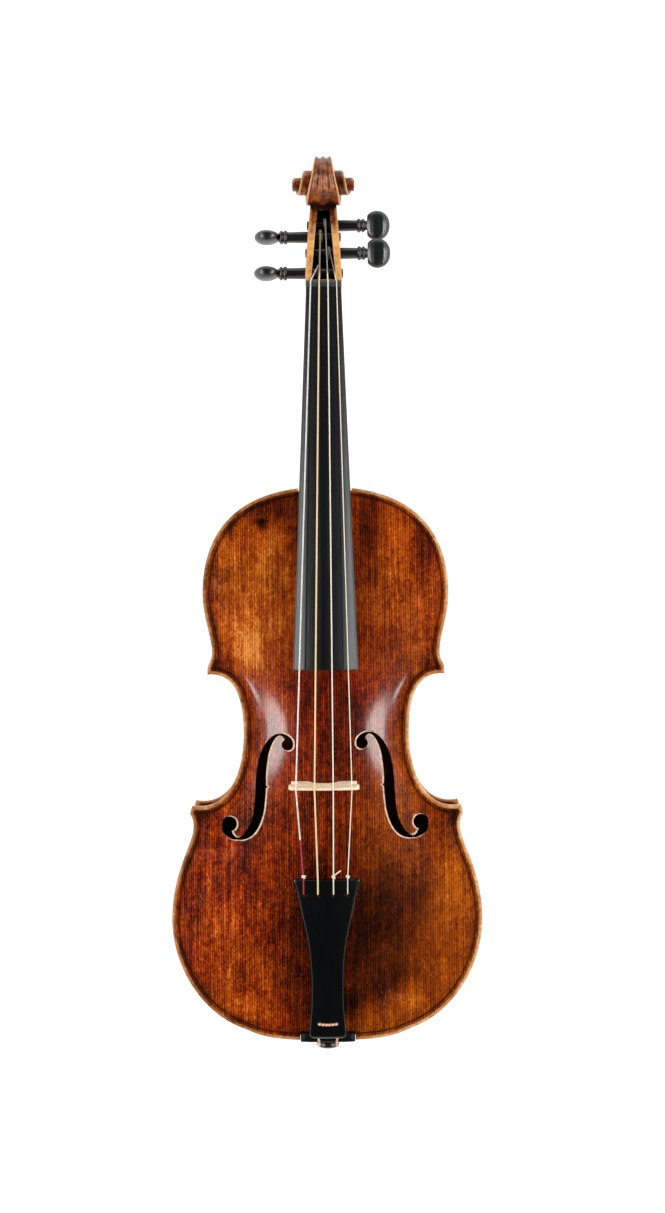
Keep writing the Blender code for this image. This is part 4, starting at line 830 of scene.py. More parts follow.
def cheek(front, back, half, hollow, rim, steps=10):
    """Side of the head from its front line to its back line: hollowed by a share of a sine, then a
    narrow bevel along the outer line."""
    reach = back - front
    far = np.linalg.norm(reach, axis=1)[:, None] + 1e-9
    share = np.linspace(0, 1, steps)
    s = share[None, :] * (1 - rim[:, None] / far)
    flat = front[:, None] + reach[:, None] * s[..., None]
    deep = hollow[:, None] * (0.75 * np.sin(math.pi * share ** 0.8) + 0.55 * (1 - share))
    side = np.concatenate([(half[:, None] - deep)[..., None], flat], axis=2)
    outer = np.concatenate([(half - rim)[:, None, None], back[:, None]], axis=2)
    return np.concatenate([side, outer], axis=1)


def ridge(back, out, half, rim, flute, steps=14):
    """Back of the head from the bevel to the middle line, with one flute on each side: the depth is
    the square of a sine of the share across."""
    share = np.linspace(0, 1, steps)
    x = (half - rim)[:, None] * (1 - share)
    deep = flute[:, None] * np.sin(math.pi * share ** 1.15) ** 2
    spot = back[:, None] - out[:, None] * deep[..., None]
    return np.concatenate([x[..., None], spot], axis=2)


fronts = through((*HEAD_FRONTS, volute(np.array([CHIN]))[0]), 6)
backs = through(HEAD_BACKS, 6)
halves = through([(half,) for half in HEAD_HALVES], 6)[:, 0]
rise = np.linspace(0, 1, len(fronts))
box_rim, box_hollow = 0.4 + 0.35 * rise, 0.3 * rise
turns = np.arange(THROAT_TURNS[0], EYE_TURN + 1.0, TURN_STEP)
outer, inner = volute(turns), volute(turns + 360.0)
band = np.linalg.norm(outer - inner, axis=1)
rim = np.minimum(0.75, band * 0.22)
hollow = np.interp(turns, (-165, -60, 60, 807), (0.3, 0.9, 1.1, 0.5)) * np.minimum(band / 3.0, 1.0)
half = scroll_half(turns)
box_cheek = cheek(fronts, backs, halves, box_hollow, box_rim)
scroll_cheek = cheek(inner, outer, half, hollow, rim)
scroll_cheek[0] = box_cheek[-1]

slope = np.gradient(backs, axis=0)
box_out = np.stack([slope[:, 1], -slope[:, 0]], axis=1) / np.linalg.norm(slope, axis=1)[:, None]
out = (outer - EYE) / np.linalg.norm(outer - EYE, axis=1)[:, None]
mix = between(turns, turns[0], turns[0] + 75.0)[:, None]
out = box_out[-1] * (1 - mix) + out * mix
out /= np.linalg.norm(out, axis=1)[:, None]
flute = np.interp(turns, (-165, -90, 60, 150, CHIN), (1.0, 1.3, 1.3, 1.6, 1.3))
lap = slice(0, CHIN_ROW + 1)
box_back = ridge(backs, box_out, halves, box_rim, rise ** 0.6)
scroll_back = ridge(outer[lap], out[lap], half[lap], rim[lap], flute[lap])
scroll_back[0] = box_back[-1]

WALL_STEPS = np.linspace(0, 1, 4)[None, :, None]
wall_top, wall_base = scroll_cheek[CHIN_ROW:, -1:], scroll_cheek[:-CHIN_ROW, :1]
walls = wall_top + (wall_base - wall_top) * WALL_STEPS
eye_base = scroll_cheek[EYE_ROW:, :1]
eye_top = eye_base * (0, 1, 1) + (half[-1], 0, 0)
eye_wall = eye_top + (eye_base - eye_top) * WALL_STEPS
# The eye's crowned end: half width and share of its radius
dome = np.array(((half[-1], 1.0), (19.9, 0.97), (20.15, 0.9), (20.4, 0.7), (20.55, 0.4), (20.6, 0.0)))
eye_spot = np.array((0.0, *EYE))
eye_ring = eye_top * (0, 1, 1) - eye_spot
eye_dome = eye_spot + eye_ring * dome[:, 1][None, :, None] + dome[:, :1] * (1, 0, 0)


def to_middle(line, steps):
    """Copies of a line, from the middle plane out to where it is, at even shares of its half width."""
    return line * np.linspace((0.0, 1.0, 1.0), (1.0, 1.0, 1.0), steps)[:, None]


FRONT_STEPS = 5
box_front = to_middle(box_cheek[:, 0], FRONT_STEPS).transpose(1, 0, 2)
chin_lid = np.concatenate([scroll_back[-1], box_front[-1][1:], walls[0][::-1][1:-1]])


def neck_rows(y, columns):
    """Sections of the neck: a half oval under a flat top, deepening into the heel; the columns run
    from the front edge round to the middle of the underside."""
    top, half = neck_top(y), board_half(y)
    free = between(y, 367.0, 397.0)
    slim = HANDLE_SLIM - HANDLE_TAPER * (y - 398.0) / 76.0
    floor = BACK_INSIDE + 0.05 + (top - slim - BACK_INSIDE - 0.05) * (1 - (1 - free) ** 2.6)
    bend = 0.42 + 0.58 * np.minimum(free * 1.6, 1.0)
    angle = np.linspace(0, math.pi / 2, columns)[None]
    across = half[:, None] * np.maximum(np.cos(angle), 0.0) ** bend[:, None]
    across[:, -1] = 0.0
    up = top[:, None] - (top - floor)[:, None] * np.sin(angle)
    return np.stack(np.broadcast_arrays(across, y[:, None], up), axis=-1)


HEAD_START, NECK_STOP = 482.0, 470.0
head_row = np.concatenate([box_cheek[0], box_back[0, 1:]])
neck_y = np.concatenate([np.linspace(NECK_ROOT, 366.0, 8), np.linspace(367.5, 400.0, 24),
                         np.linspace(405.0, NECK_STOP, 14)])
plain = neck_rows(neck_y, len(head_row))
# Between neck and head each row slides from the one's section to the other's
far = np.linspace(0, 1, 8)[1:-1, None]
ahead = far * (HEAD_START - NECK_STOP)
slide = (far * far * (3 - 2 * far))[..., None]
from_neck = plain[-1] + np.stack([ahead * 0, ahead, ahead * 0], axis=-1)
from_head = head_row + np.stack([ahead * 0, ahead - HEAD_START + NECK_STOP, ahead * 0], axis=-1)
joined = from_neck * (1 - slide) + from_head * slide
joined[:, 0, 2] = neck_top(joined[:, 0, 1])
neck_side = np.concatenate([plain, joined, head_row[None]])
neck_front = to_middle(neck_side[:, 0], FRONT_STEPS).transpose(1, 0, 2)
heel_face = to_middle(plain[0], FRONT_STEPS)


def handled_maple():
    """Maple of the neck and head: faint flames across, darker in the hollows, varnish rubbed off every
    edge, and the pegbox edges and the neck worn down to golden wood. Near the scroll and under its
    chin it is darkened as painted shade of the scroll."""
    made, place, feed = finish("carved maple, handled", VARNISH)
    slow = place.cloud(60.0, 3.0, 0.6)
    flame = ((place.part(1) + slow * 0.006) * 1050.0 + place.cloud(90.0) * 4.0).wave() * 0.5 + 0.5
    pores = place.stretched(1300.0, 120.0, 900.0).cloud(1.0, 3.0, 0.65)
    patch = place.cloud(150.0, 4.0, 0.7)
    # The gold mark lifts the tone where the wood is worn golden, and lowers it near the scroll as painted
    # shade
    tone = (0.38 + (slow - 0.5) * 0.7 + (patch - 0.5) * 1.5 + (flame - 0.5) * 0.1 + (pores - 0.5) * 0.5
            + mark_of(place, "gold") * 0.5).held()
    colour = tone.tones((0.0, tint(44, 20, 13)), (0.25, tint(96, 42, 20)), (0.45, tint(146, 72, 28)),
                        (0.65, tint(196, 112, 42)), (0.85, tint(232, 156, 62)), (1.0, tint(246, 190, 104)))
    edge = place.node("ShaderNodeNewGeometry", {}, {}, 7)
    # Darker where the surface is hollow, chosen by its pointiness
    hollow = edge.rise(0.5, 0.45) * 0.85
    colour = hollow.blend(colour, tint(38, 19, 14))
    rubbed = (edge + (patch - 0.5) * 0.03).rise(0.525, 0.57) * 0.85
    colour = rubbed.blend(colour, tint(236, 174, 112))
    feed(Base_Color=colour, Roughness=patch * 0.25 + 0.3,
         Normal=(pores * 0.6 + patch).relief(0.00018, 0.55))
    return made


carved_neck = shape("carved_neck_and_scroll",
                    both_sides(neck_side, neck_front, heel_face, box_cheek, box_back, box_front,
                               scroll_cheek, scroll_back, walls, eye_wall, eye_dome),
                    handled_maple(), slot="varnished_maple", stands_for=("neck_with_scroll",),
                    sharp=32.0, lids=(chin_lid, chin_lid * (-1, 1, 1)))


def pegbox_inside():
    """Inside of the pegbox, nearly black and never varnished."""
    made, place, feed = finish("inside of the pegbox, nearly black", {"Specular IOR Level": 0.15})
    tone = place.cloud(300.0, 3.0, 0.7)
    feed(Base_Color=tone.tones((0.3, tint(14, 8, 6)), (0.7, tint(40, 22, 15))), Roughness=tone * 0.2 + 0.6)
    return made


# The hollow of the pegbox: a wide mouth above it all, and a floor that is rounded into its sides. Each
# narrows towards the scroll, and the floor falls with the back of the head
MOUTH_HALF, FLOOR_HALF, NARROWER = 8.2, 7.4, 3.5
MOUTH_FROM, MOUTH_LONG, MOUTH_HIGH = 488.7, 51.9, 62.0
FLOOR_FROM, FLOOR_LONG, FLOOR_HIGH, FLOOR_FALL, FLOOR_ROUND = 489.8, 49.8, 31.5, 18.9, 1.8
far = np.linspace(0, 1, 12)[:, None]
side_share, floor_share = np.array(((1.0, 0.0), (0.93, 0.5), (0.75, 0.9), (0.4, 1.0))).T
trough_mouth = np.stack([MOUTH_HALF - NARROWER * far, MOUTH_FROM + MOUTH_LONG * far,
                         MOUTH_HIGH + far * 0], axis=-1)
floor_height = FLOOR_HIGH - FLOOR_FALL * far + FLOOR_ROUND * (1 - floor_share)
trough_floor = np.stack(np.broadcast_arrays((FLOOR_HALF - NARROWER * far) * side_share,
                                            FLOOR_FROM + FLOOR_LONG * far, floor_height), axis=-1)
hollow_half = np.concatenate([trough_mouth, trough_floor], axis=1)
trough = np.concatenate([hollow_half, (hollow_half * (-1, 1, 1))[:, ::-1]], axis=1)
tools = [tool_of("trough", trough, pegbox_inside())]

# Each peg: its name, side of its head, place along and above, middle and turns of its winding
PEGS = (("g", -1, 495.8, 38.5, -3.4, 2.0), ("d", -1, 521.5, 27.6, -2.0, 1.5),
        ("a", 1, 530.1, 22.6, 1.2, 1.5), ("e", 1, 509.9, 32.6, 3.4, 2.5))
BORE_REACH, BORE_RADIUS, BORE_TAPER = 14.0, 3.35, 0.8
around = full_turn(40)
for name, side, y, z, *_ in PEGS:
    bore = []
    for far in (0.0, 1.0):
        radius = BORE_RADIUS + BORE_TAPER * far
        across = np.full(len(around), side * BORE_REACH * (2 * far - 1))
        bore.append(np.column_stack([across, y + radius * np.cos(around), z + radius * np.sin(around)]))
    tools.append(tool_of("bore_" + name, np.stack(bore)))
worked(carved_neck, tools, sharp=32.0)

# Golden wood: the front edges of the pegbox and the handle of the neck. Towards the scroll the front edges,
# and the throat under its chin, are darkened instead: painted shade of the scroll.
_, along, above = plan_of(carved_neck).T
front_height = np.interp(along, fronts[:, 0], fronts[:, 1])
# Gold along the front edges of the pegbox; past along 528 it turns negative and darkens them, painted shade
# of the scroll
front_gold_and_chin_shade = (np.exp(-((above - front_height) / 1.6) ** 2)
            * between(along, 480, 488) * np.clip((528 - along) / 10, -0.6, 1))
handle = between(along, 372, 392) * between(along, 484, 470) * 0.6
# Painted shade in the throat under the scroll's chin, taken off the gold
painted_shade_under_chin = np.exp(-((along - 541.0) / 5.0) ** 2) * np.exp(-((above - 20.0) / 9.0) ** 2)
mark(carved_neck, "gold", np.maximum(front_gold_and_chin_shade, handle) - painted_shade_under_chin * 0.9)

# The heel is held from inside the sound box by three forged nails driven through the upper block
iron, place, feed = finish("forged iron, rusted", {"Metallic": 0.8})
rust = place.cloud(700.0, 4.0, 0.7)
feed(Base_Color=rust.tones((0.35, tint(52, 46, 42)), (0.6, tint(98, 66, 46)), (0.8, tint(134, 84, 52))),
     Roughness=rust * 0.5 + 0.4, Normal=rust.relief(0.0003, 0.6))
refinished(["neck_nail_" + label for label in ("left", "middle", "right")], iron)


# Fingerboard and nut: a wedge, black all over, with a crowned face, glued to the neck, free over the top
# and hollowed out underneath at its free end. The nut is a small ebony bar with one groove a string.
BOARD_RADIUS = 42.0
NUT_STRING = 60.4
BOARD_HIGH = 82.0


def ebony(name, dust, rough=0.27, grain=1, pale=1.0, gloss=0.6):
    """Black wood, polished by hand: fine pores with the grain and a thin grey bloom of dust. On the nut the
    grey-blue bloom and the raised paleness are partly dust and partly painted reflection of the lamps.
    """
    made, place, feed = finish(name, {"Specular IOR Level": gloss})
    pores = place.grained(grain, 60.0, 1500.0).cloud(1.0, 2.0, 0.6)
    bloom = place.grained(grain, 25.0, 80.0).cloud(1.0, 3.0, 0.6)
    tone = (pores * 0.5 + bloom * 0.6 - 0.1).held()
    feed(Base_Color=tone.tones((0.2, tint(7 * pale, 9 * pale, 10 * pale)),
                               (0.6, tint(20 * pale, 23 * pale, 24 * pale)), (0.95, dust)),
         Roughness=rough + bloom * 0.08 + pores * 0.06, Normal=pores.relief(0.00007, 0.5))
    return made


def crown_sag(x):
    """How far the crown has fallen at a distance from the middle line."""
    return BOARD_RADIUS - np.sqrt(BOARD_RADIUS ** 2 - x * x)


def board_rows(y):
    """Sections of the board: an arc of 42 mm radius, a small round at its edge, a side that leans in a
    little and an underside hollowed by a cosine."""
    free_from = NECK_ROOT - 0.5
    nut_height = neck_top(NUT_FRONT) + 5.2
    crown = nut_height + (BOARD_HIGH - nut_height) * (NUT_FRONT - y) / (NUT_FRONT - BOARD_END)
    half = board_half(y)
    base = neck_top(np.maximum(y, free_from)) + 0.04 + np.maximum(free_from - y, 0.0) * 0.128
    deep = np.minimum(np.maximum(NECK_ROOT - 2.0 - y, 0.0) * 0.05, 2.4) * 1.3
    top_x = half[:, None] * np.linspace(0, 0.965, 16)
    top = np.stack([top_x, y[:, None] + top_x * 0, crown[:, None] - crown_sag(top_x)], axis=-1)
    angle = np.linspace(0.0, math.pi / 2, 7)[1:]
    edge = top[:, -1:] * (0, 1, 1) - (0, 0, 1) * (0.9 * (1 - np.cos(angle)))[None, :, None]
    edge[..., 0] = top[:, -1:, 0] + (half - top[:, -1, 0])[:, None] * np.sin(angle)
    foot = np.stack([half - 0.25, y, base + 0.3], axis=-1)[:, None]
    share = np.linspace(1, 0, 9)
    under_x = (half - 0.6)[:, None] * share
    lift = deep[:, None] * (0.5 + 0.5 * np.cos(math.pi * np.minimum(share / 0.86, 1.0)))
    under = np.stack([under_x, y[:, None] + under_x * 0, base[:, None] + lift], axis=-1)
    return np.concatenate([top, edge, foot, under], axis=1)


# The free end is eased: its first rows are drawn down, all but the underside
EASED_FALL = np.array((0.65, 0.3, 0.1, 0.0))[:, None]
EASED_POINTS = 22
board_y = np.concatenate([BOARD_END + np.array((0.0, 0.12, 0.45, 1.0)), np.linspace(246.0, 482.9, 60),
                          [NUT_FRONT - 0.04]])
board = board_rows(board_y)
board[:len(EASED_FALL), :, 2] -= EASED_FALL * (np.arange(board.shape[1]) < EASED_POINTS)
shape("crowned_fingerboard", both_sides(board, to_middle(board[0], 3), to_middle(board[-1], 3)),
      ebony("blackened fingerboard", tint(48, 54, 56), 0.24), slot="ebony", stands_for=("fingerboard",),
      sharp=30.0)

# Each string: its name, and its distance from the middle line at the nut and at the bridge
STRINGS = (("g", -8.35, -17.4), ("d", -2.85, -5.8), ("a", 2.85, 5.8), ("e", 8.35, 17.4))
nut_x = np.linspace(-NUT_HALF + 0.1, NUT_HALF - 0.1, 121)
groove = sum(0.5 * np.exp(-((nut_x - x) / 0.55) ** 2) for _, x, _ in STRINGS)
nut_y, nut_z = np.array(((NUT_FRONT, neck_top(NUT_FRONT) + 0.04), (NUT_FRONT, NUT_STRING - 1.5),
                         (NUT_FRONT + 0.15, NUT_STRING - 1.0), (NUT_FRONT + 1.0, NUT_STRING - 0.62),
                         (NUT_FRONT + 2.2, NUT_STRING - 0.8), (NUT_BACK - 1.2, NUT_STRING - 1.5),
                         (NUT_BACK - 0.3, NUT_STRING - 2.4), (NUT_BACK, NUT_STRING - 3.4),
                         (NUT_BACK, neck_top(NUT_BACK) + 0.04))).T
crowned = np.array((0, 1, 1, 1, 1, 1, 1, 1, 0))
nut = np.stack([np.column_stack([np.full(len(nut_y), x), nut_y,
                                 nut_z - crowned * (crown_sag(x) + cut * (nut_z > NUT_STRING - 2))])
                for x, cut in zip(nut_x, groove)])
# The nut's grey-blue colour is partly dust and partly painted reflection of the lamps on its rounded top
shape("grooved_nut", [(nut, True)], ebony("ebony of the nut, with painted sheen", tint(132, 144, 150), 0.34, 0, 3.4),
      slot="ebony", stands_for=("nut",), lids=(nut[0], nut[-1]))


# End button and saddle: the button is turned from ebony and pushed into a bore through the bottom rib and
# block. The saddle is an ebony bar let into the edge of the top, so that the tail gut doesn't cut it.
BUTTON_Z, BUTTON_SHOULDER = 33.0, 0.6


def turned(profile, steps=48, smooth=6):
    """A profile of distances along X and radii, smoothed through its points and spun round X: the point
    at an angle is (along, radius times its cosine, radius times its sine)."""
    line = through(profile, smooth)
    line[:, 1] = np.maximum(line[:, 1], 0.0)
    angle = full_turn(steps)
    return np.stack([line[:, :1] + angle * 0, line[:, 1:] * np.cos(angle), line[:, 1:] * np.sin(angle)],
                    axis=-1)


fittings = ebony("turned ebony", tint(40, 46, 50), 0.22, 0, gloss=1.0)
button = turned(((-22.0, 0.0), (-22.0, 2.9), (-21.6, 3.0), (-12.0, 3.3), (-2.4, 3.45), (-2.3, 5.0),
                 (-1.7, 5.5), (-0.9, 5.6), (-0.2, 5.3), (0.2, 4.5), (1.0, 4.1), (2.4, 4.1), (3.2, 4.5),
                 (3.8, 5.9), (5.0, 7.0), (6.6, 7.35), (7.9, 6.9), (8.8, 5.4), (9.2, 3.0), (9.3, 0.0)))
button = np.stack([button[..., 1], -button[..., 0] + BUTTON_SHOULDER, button[..., 2] + BUTTON_Z], axis=-1)
shape("turned_end_button", [(button, True)], fittings, slot="ebony", stands_for=("end_button",), sharp=50.0)

SADDLE_TOP, SADDLE_HALF = 56.8, 17.5
saddle_x = np.linspace(-SADDLE_HALF, SADDLE_HALF, 71)
saddle_y, saddle_z = through(((0.1, TOP_INSIDE + 0.05), (0.1, 50.0), (0.1, SADDLE_TOP - 1.6),
                              (0.8, SADDLE_TOP - 0.5), (2.4, SADDLE_TOP), (4.4, SADDLE_TOP - 0.5),
                              (5.6, SADDLE_TOP - 2.0), (5.7, 51.5), (5.7, TOP_INSIDE + 0.05)), 4).T
ends_fall = np.interp(np.abs(saddle_x), (0.0, 10.5, 15.4, SADDLE_HALF), (0.0, 0.0, 0.3, 0.7))
above = np.clip(saddle_z - TOP_INSIDE - 5, 0, None)
saddle = np.stack([np.column_stack([np.full(len(saddle_y), x), saddle_y, saddle_z - fall * above])
                   for x, fall in zip(saddle_x, ends_fall)])
shape("let_in_saddle", [(saddle, True)], ebony("ebony of the saddle", tint(11, 11, 12), 0.24, 0, 0.4, 0.15),
      slot="ebony", stands_for=("saddle",), lids=(saddle[0], saddle[-1]))


# Pegs with their windings: four pegs of turned ebony with a slight taper, a double ring for a collar and a
# head pressed flat. The end of each string is wound on in a few turns beside each other; silk shows
# on the thickest.
STRING_RADII = {"g": 0.46, "d": 0.52, "a": 0.40, "e": 0.31}
WINDING_RADIUS = 3.95
# Metres along, from where the cords in the pegbox are darkened: partly soiled, partly painted shade of the
# pegbox walls
PAST_NUT = (0.3125, 0.318)


def tube(path, radius, around=12):
    """A round cord along a path: at each point a circle square to the path, its first direction
    carried on from the point before by taking out what lies along the path. Its ends are closed."""
    path = np.array(path, float)
    way = np.gradient(path, axis=0)
    way /= np.linalg.norm(way, axis=1)[:, None]
    first = np.cross(way[0], (0.3, 0.5, 0.8))
    sides = [first / np.linalg.norm(first)]
    for step in way[1:]:
        side = sides[-1] - step * (sides[-1] @ step)
        sides.append(side / np.linalg.norm(side))
    sides = np.array(sides)
    other = np.cross(way, sides)
    angle = full_turn(around)[None, :, None]
    rings = path[:, None] + radius * (sides[:, None] * np.cos(angle) + other[:, None] * np.sin(angle))
    return np.concatenate([rings[:1] * 0 + path[0], rings, rings[:1] * 0 + path[-1]])


def cord_finish(name, dark, pale, pitch, depth, constants, dirt=0.3):
    """A twisted or wound cord: its ridges run round it in a screw line, drawn on the piece's own map. In
    the pegbox, past the nut, it is darkened: partly soiled, partly painted shade of the pegbox walls."""
    made, place, feed = finish(name, constants)
    lay = place.node("ShaderNodeUVMap", {"uv_map": "lay"}, {})
    screw = (lay.part(0) + lay.part(1) / pitch) * (2 * math.pi)
    ridge = screw.wave() * 0.5 + 0.5
    tone = (ridge * 0.6 + place.cloud(900.0, 3.0, 0.6) * 0.5 - place.cloud(120.0, 2.0) * dirt).held()
    # Past the nut the cord is darkened: partly soiled, partly painted shade of the pegbox
    soiled_and_shaded = place.part(1).rise(*PAST_NUT) * 0.72
    feed(Base_Color=soiled_and_shaded.blend(tone.tones((0.1, dark), (0.75, pale)), tint(60, 48, 36)),
         Roughness=0.32 + ridge * 0.12 + place.cloud(500.0) * 0.1, Normal=ridge.relief(depth, 0.8))
    return made


gut = cord_finish("pale gut", tint(232, 218, 188), tint(255, 252, 238), 1.6, 0.00004, {}, 0.1)
thick_gut = cord_finish("thick golden gut", tint(224, 186, 128), tint(252, 230, 184), 1.3, 0.00005, {}, 0.15)
silk = cord_finish("crimson silk", tint(112, 12, 30), tint(214, 44, 84), 0.5, 0.0001,
                   {"Sheen Weight": 0.4}, 0.1)


def pressed(peg, way, low):
    """Flattens the head across one axis. Seen from its edge it is a lens, 4.6 mm thick each way at its
    middle and 0.9 mm at its tip: height = lens * |sin a| ** 0.7, so its cheeks are nearly flat."""
    wide = np.maximum(np.hypot(peg[..., 1], peg[..., 2]), 0.01)
    lens = np.interp(peg[..., 0] - low, (0.0, 2.6, 5.0, 8.0, 11.0, 13.5, 15.0, 15.6),
                     (2.5, 3.6, 4.3, 4.6, 4.3, 3.2, 1.9, 0.9))
    flat = np.sign(peg[..., way]) * np.minimum(lens, wide) * (np.abs(peg[..., way]) / wide) ** 0.7
    peg[..., way] = np.where(peg[..., 0] > low, flat, peg[..., way])


# Profiles of a peg: distances out from the middle of the pegbox, and radii
COLLAR = ((22.1, 3.7), (22.5, 4.3), (23.3, 4.6), (24.1, 4.3), (24.6, 3.7), (25.0, 3.7), (25.4, 4.3),
          (26.1, 4.45), (26.8, 4.1), (27.4, 3.3), (28.6, 2.9), (30.0, 2.9))
HEAD = ((31.2, 3.0), (30.8, 3.9), (29.6, 4.9), (28.8, 5.9), (29.2, 7.0), (30.8, 8.4), (33.0, 9.3),
        (35.4, 9.6), (38.6, 8.9), (41.2, 7.0), (42.9, 4.4), (43.5, 1.8), (43.6, 0.0))
HEAD_FROM, LEFT_FURTHER = 28.0, 1.6
WINDING_GAP, WINDING_STEPS = 0.46, 28
for name, side, y, z, middle, count in PEGS:
    out = 0.0 if side > 0 else LEFT_FURTHER
    tip = -float(np.interp(y, (495.0, 532.0), (12.8, 11.0)))
    shaft = ((tip, 0.0), (tip + 0.1, 1.4), (tip + 0.5, 2.5), (tip + 1.2, 3.0), (0.0, 3.35), (11.5, 3.7),
             (16.0, 3.62), (21.6 + out, 3.5))
    peg = turned((*shaft, *((along + out, radius) for along, radius in (*COLLAR, *HEAD))), 64, 5)
    # The heads on the right lie flat, those on the left stand on edge
    pressed(peg, 2 if side > 0 else 1, HEAD_FROM + out)
    peg[..., :2] *= side
    peg += (0.0, y, z)
    body = "peg_%s_wound" % name
    shape("turned_peg_" + name, [(peg, True)], fittings, body=body, slot="ebony",
          stands_for=("peg_" + name,), sharp=60.0)

    radius = STRING_RADII[name]
    pitch = 2 * radius + WINDING_GAP
    coil = WINDING_RADIUS + radius
    turns = np.linspace(0, count, int(count * WINDING_STEPS) + 1)
    angle = 2 * math.pi * turns
    wound = np.column_stack([(turns - count / 2) * pitch, coil * np.cos(angle), coil * np.sin(angle)])
    wound += (middle, y, z)
    look = {"g": silk, "d": thick_gut}.get(name, gut)
    shape("wound_end_" + name, [(tube(wound, radius), True)], look, body=body,
          slot="silver_winding" if name == "g" else "gut", stands_for=("winding_" + name,), sharp=60.0)


# Bridge: a thin slab of pale maple with two feet cut to the arch of the top, a heart and two kidneys sawn
# out, and a crown as round as the fingerboard. Nothing holds it but the pull of the strings.
BRIDGE_X, BRIDGE_Y, BRIDGE_STRING = -1.5, 166.0, 94.5


def top_height(x, y):
    """Height of the top's varnished surface at places in plan."""
    return TOP_INSIDE + arched(np.column_stack([x, y]), TOP_RISE)


sole_x = np.linspace(9.5, 20.8, 8)
soles = np.maximum(*(top_height(BRIDGE_X + side * sole_x, sole_x * 0 + BRIDGE_Y) for side in (-1, 1))) + 0.12
base = float(np.interp(13.0, sole_x, soles)) + 0.2
leg = through(((0.0, base + 9.6), (3.5, base + 9.2), (6.4, base + 7.4), (8.2, base + 4.2),
               (9.2, base + 1.6)), 5)
waist = through(((20.9, soles[-1] + 2.0), (18.2, base + 4.4), (16.4, base + 7.0), (16.2, base + 9.4),
                 (18.6, base + 11.0), (20.6, base + 12.6), (21.9, base + 15.6), (22.1, base + 19.0),
                 (21.2, base + 21.4)), 5)
crown_x = np.linspace(20.4, 0.0, 60)
notches = sum(0.35 * np.exp(-((crown_x - x) / 0.6) ** 2) for x in (5.8, 17.4))
crown_line = np.column_stack([crown_x, BRIDGE_STRING - crown_sag(crown_x) - 0.5 - notches])
bridge_half = np.vstack([leg, np.column_stack([sole_x, soles]), waist, crown_line])
bridge_edge = np.vstack([bridge_half, (bridge_half * (-1, 1))[::-1][1:-1]])


def bridge_slab(name, edge, thick, finish, **words):
    """An upright outline given thickness both ways from the middle of the bridge."""
    across, up = edge.T
    rings = [np.column_stack([across + BRIDGE_X, np.full(len(edge), BRIDGE_Y + way * thick), up])
             for way in (-1, 1)]
    return shape(name, [(np.stack(rings), True)], finish, lids=(rings[0], rings[1]), **words)


def bridge_finish():
    """Bare maple, pale cream: short brown flecks of rays and a little rosin dust."""
    made, place, feed = finish("bare maple of the bridge", {"Specular IOR Level": 0.35})
    flecks = place.stretched(420.0, 420.0, 2600.0).cloud(1.0, 2.0, 0.6).rise(0.58, 0.68)
    grain = place.stretched(900.0, 900.0, 200.0).cloud(1.0, 3.0)
    tone = (grain * 0.6 + place.cloud(160.0, 2.0) * 0.5 - flecks * 0.22).held()
    feed(Base_Color=tone.tones((0.15, tint(206, 160, 112)), (0.45, tint(250, 224, 186)),
                               (0.9, tint(255, 246, 222))),
         Roughness=0.5 + tone * 0.12, Normal=tone.relief(0.00012, 0.5))
    return made


BRIDGE_HALF, SAW_HALF = 2.1, 6.0
sawn_bridge = bridge_slab("sawn_bridge", bridge_edge, BRIDGE_HALF, bridge_finish(), slot="bridge_maple",
                          stands_for=("bridge",))
# The heart: an oval with a dent at its top and drawn-in flanks. A kidney: an oval bent upwards
sine, cosine = np.sin(full_turn(40)), np.cos(full_turn(40))
dent = 1.5 * np.exp(-(sine / 0.35) ** 2) * (cosine > 0)
heart = np.column_stack([3.5 * sine * (1 - 0.18 * cosine),
                         base + 18.6 + 3.4 * cosine - 1.9 * np.abs(sine) ** 1.6 * 0.4 - dent])
tools = [bridge_slab("heart", heart, SAW_HALF, None, body=None)]
for side, label in ((-1, "left"), (1, "right")):
    kidney = np.column_stack([side * (12.8 + 3.6 * cosine), base + 16.4 + 2.2 * sine + 0.5 * cosine ** 2])
    tools.append(bridge_slab("kidney_" + label, kidney, SAW_HALF, None, body=None))
worked(sawn_bridge, tools)

# The slab is planed thinner towards its crown, and its edges are eased
spots = points_of(sawn_bridge)
thin = np.interp(spots[:, 2] / MM, (base, base + 6, BRIDGE_STRING), (1.0, 0.95, 0.34))
middle_y = (BRIDGE_Y - TAIL_TO_CROWN) * MM
spots[:, 1] = middle_y + (spots[:, 1] - middle_y) * thin
sawn_bridge.data.vertices.foreach_set("co", spots.ravel())
eased = sawn_bridge.modifiers.new("eased edges", "BEVEL")
eased.width = 0.22 * MM
eased.segments = 2
eased.limit_method = "ANGLE"
eased.angle_limit = math.radians(50)


# Tailpiece and tail gut: a black tailpiece, flat underneath and slightly crowned, held by one thick strand
# of gut that lies across its end, goes down through two holes, over the saddle and round the button.
TAIL_FRONT, TAIL_END = 108.1, 4.3
TAIL_FRONT_TOP, TAIL_END_TOP = 81.2, 63.8
TAIL_HALVES = ((TAIL_END, 9.4), (4.9, 10.5), (6.2, 11.3), (8.5, 11.6), (14.0, 11.1), (26.0, 10.2),
               (38.0, 9.9), (48.0, 10.2), (66.0, 11.8), (86.0, 16.0), (98.0, 18.6), (107.2, 21.4),
               (TAIL_FRONT, 21.2))
TAIL_WOOD, TAIL_THINNER = 5.0, 0.6


def tail_top(y):
    """Height of the tailpiece's middle line."""
    return TAIL_FRONT_TOP - (TAIL_FRONT - y) * (TAIL_FRONT_TOP - TAIL_END_TOP) / (TAIL_FRONT - TAIL_END)


def tail_sag(x):
    """How far its crown has fallen at a distance from the middle line."""
    return x * x / 150.0


tail_line = through(TAIL_HALVES, 6)
tail_y, tail_half = tail_line[:, 0], tail_line[:, 1]
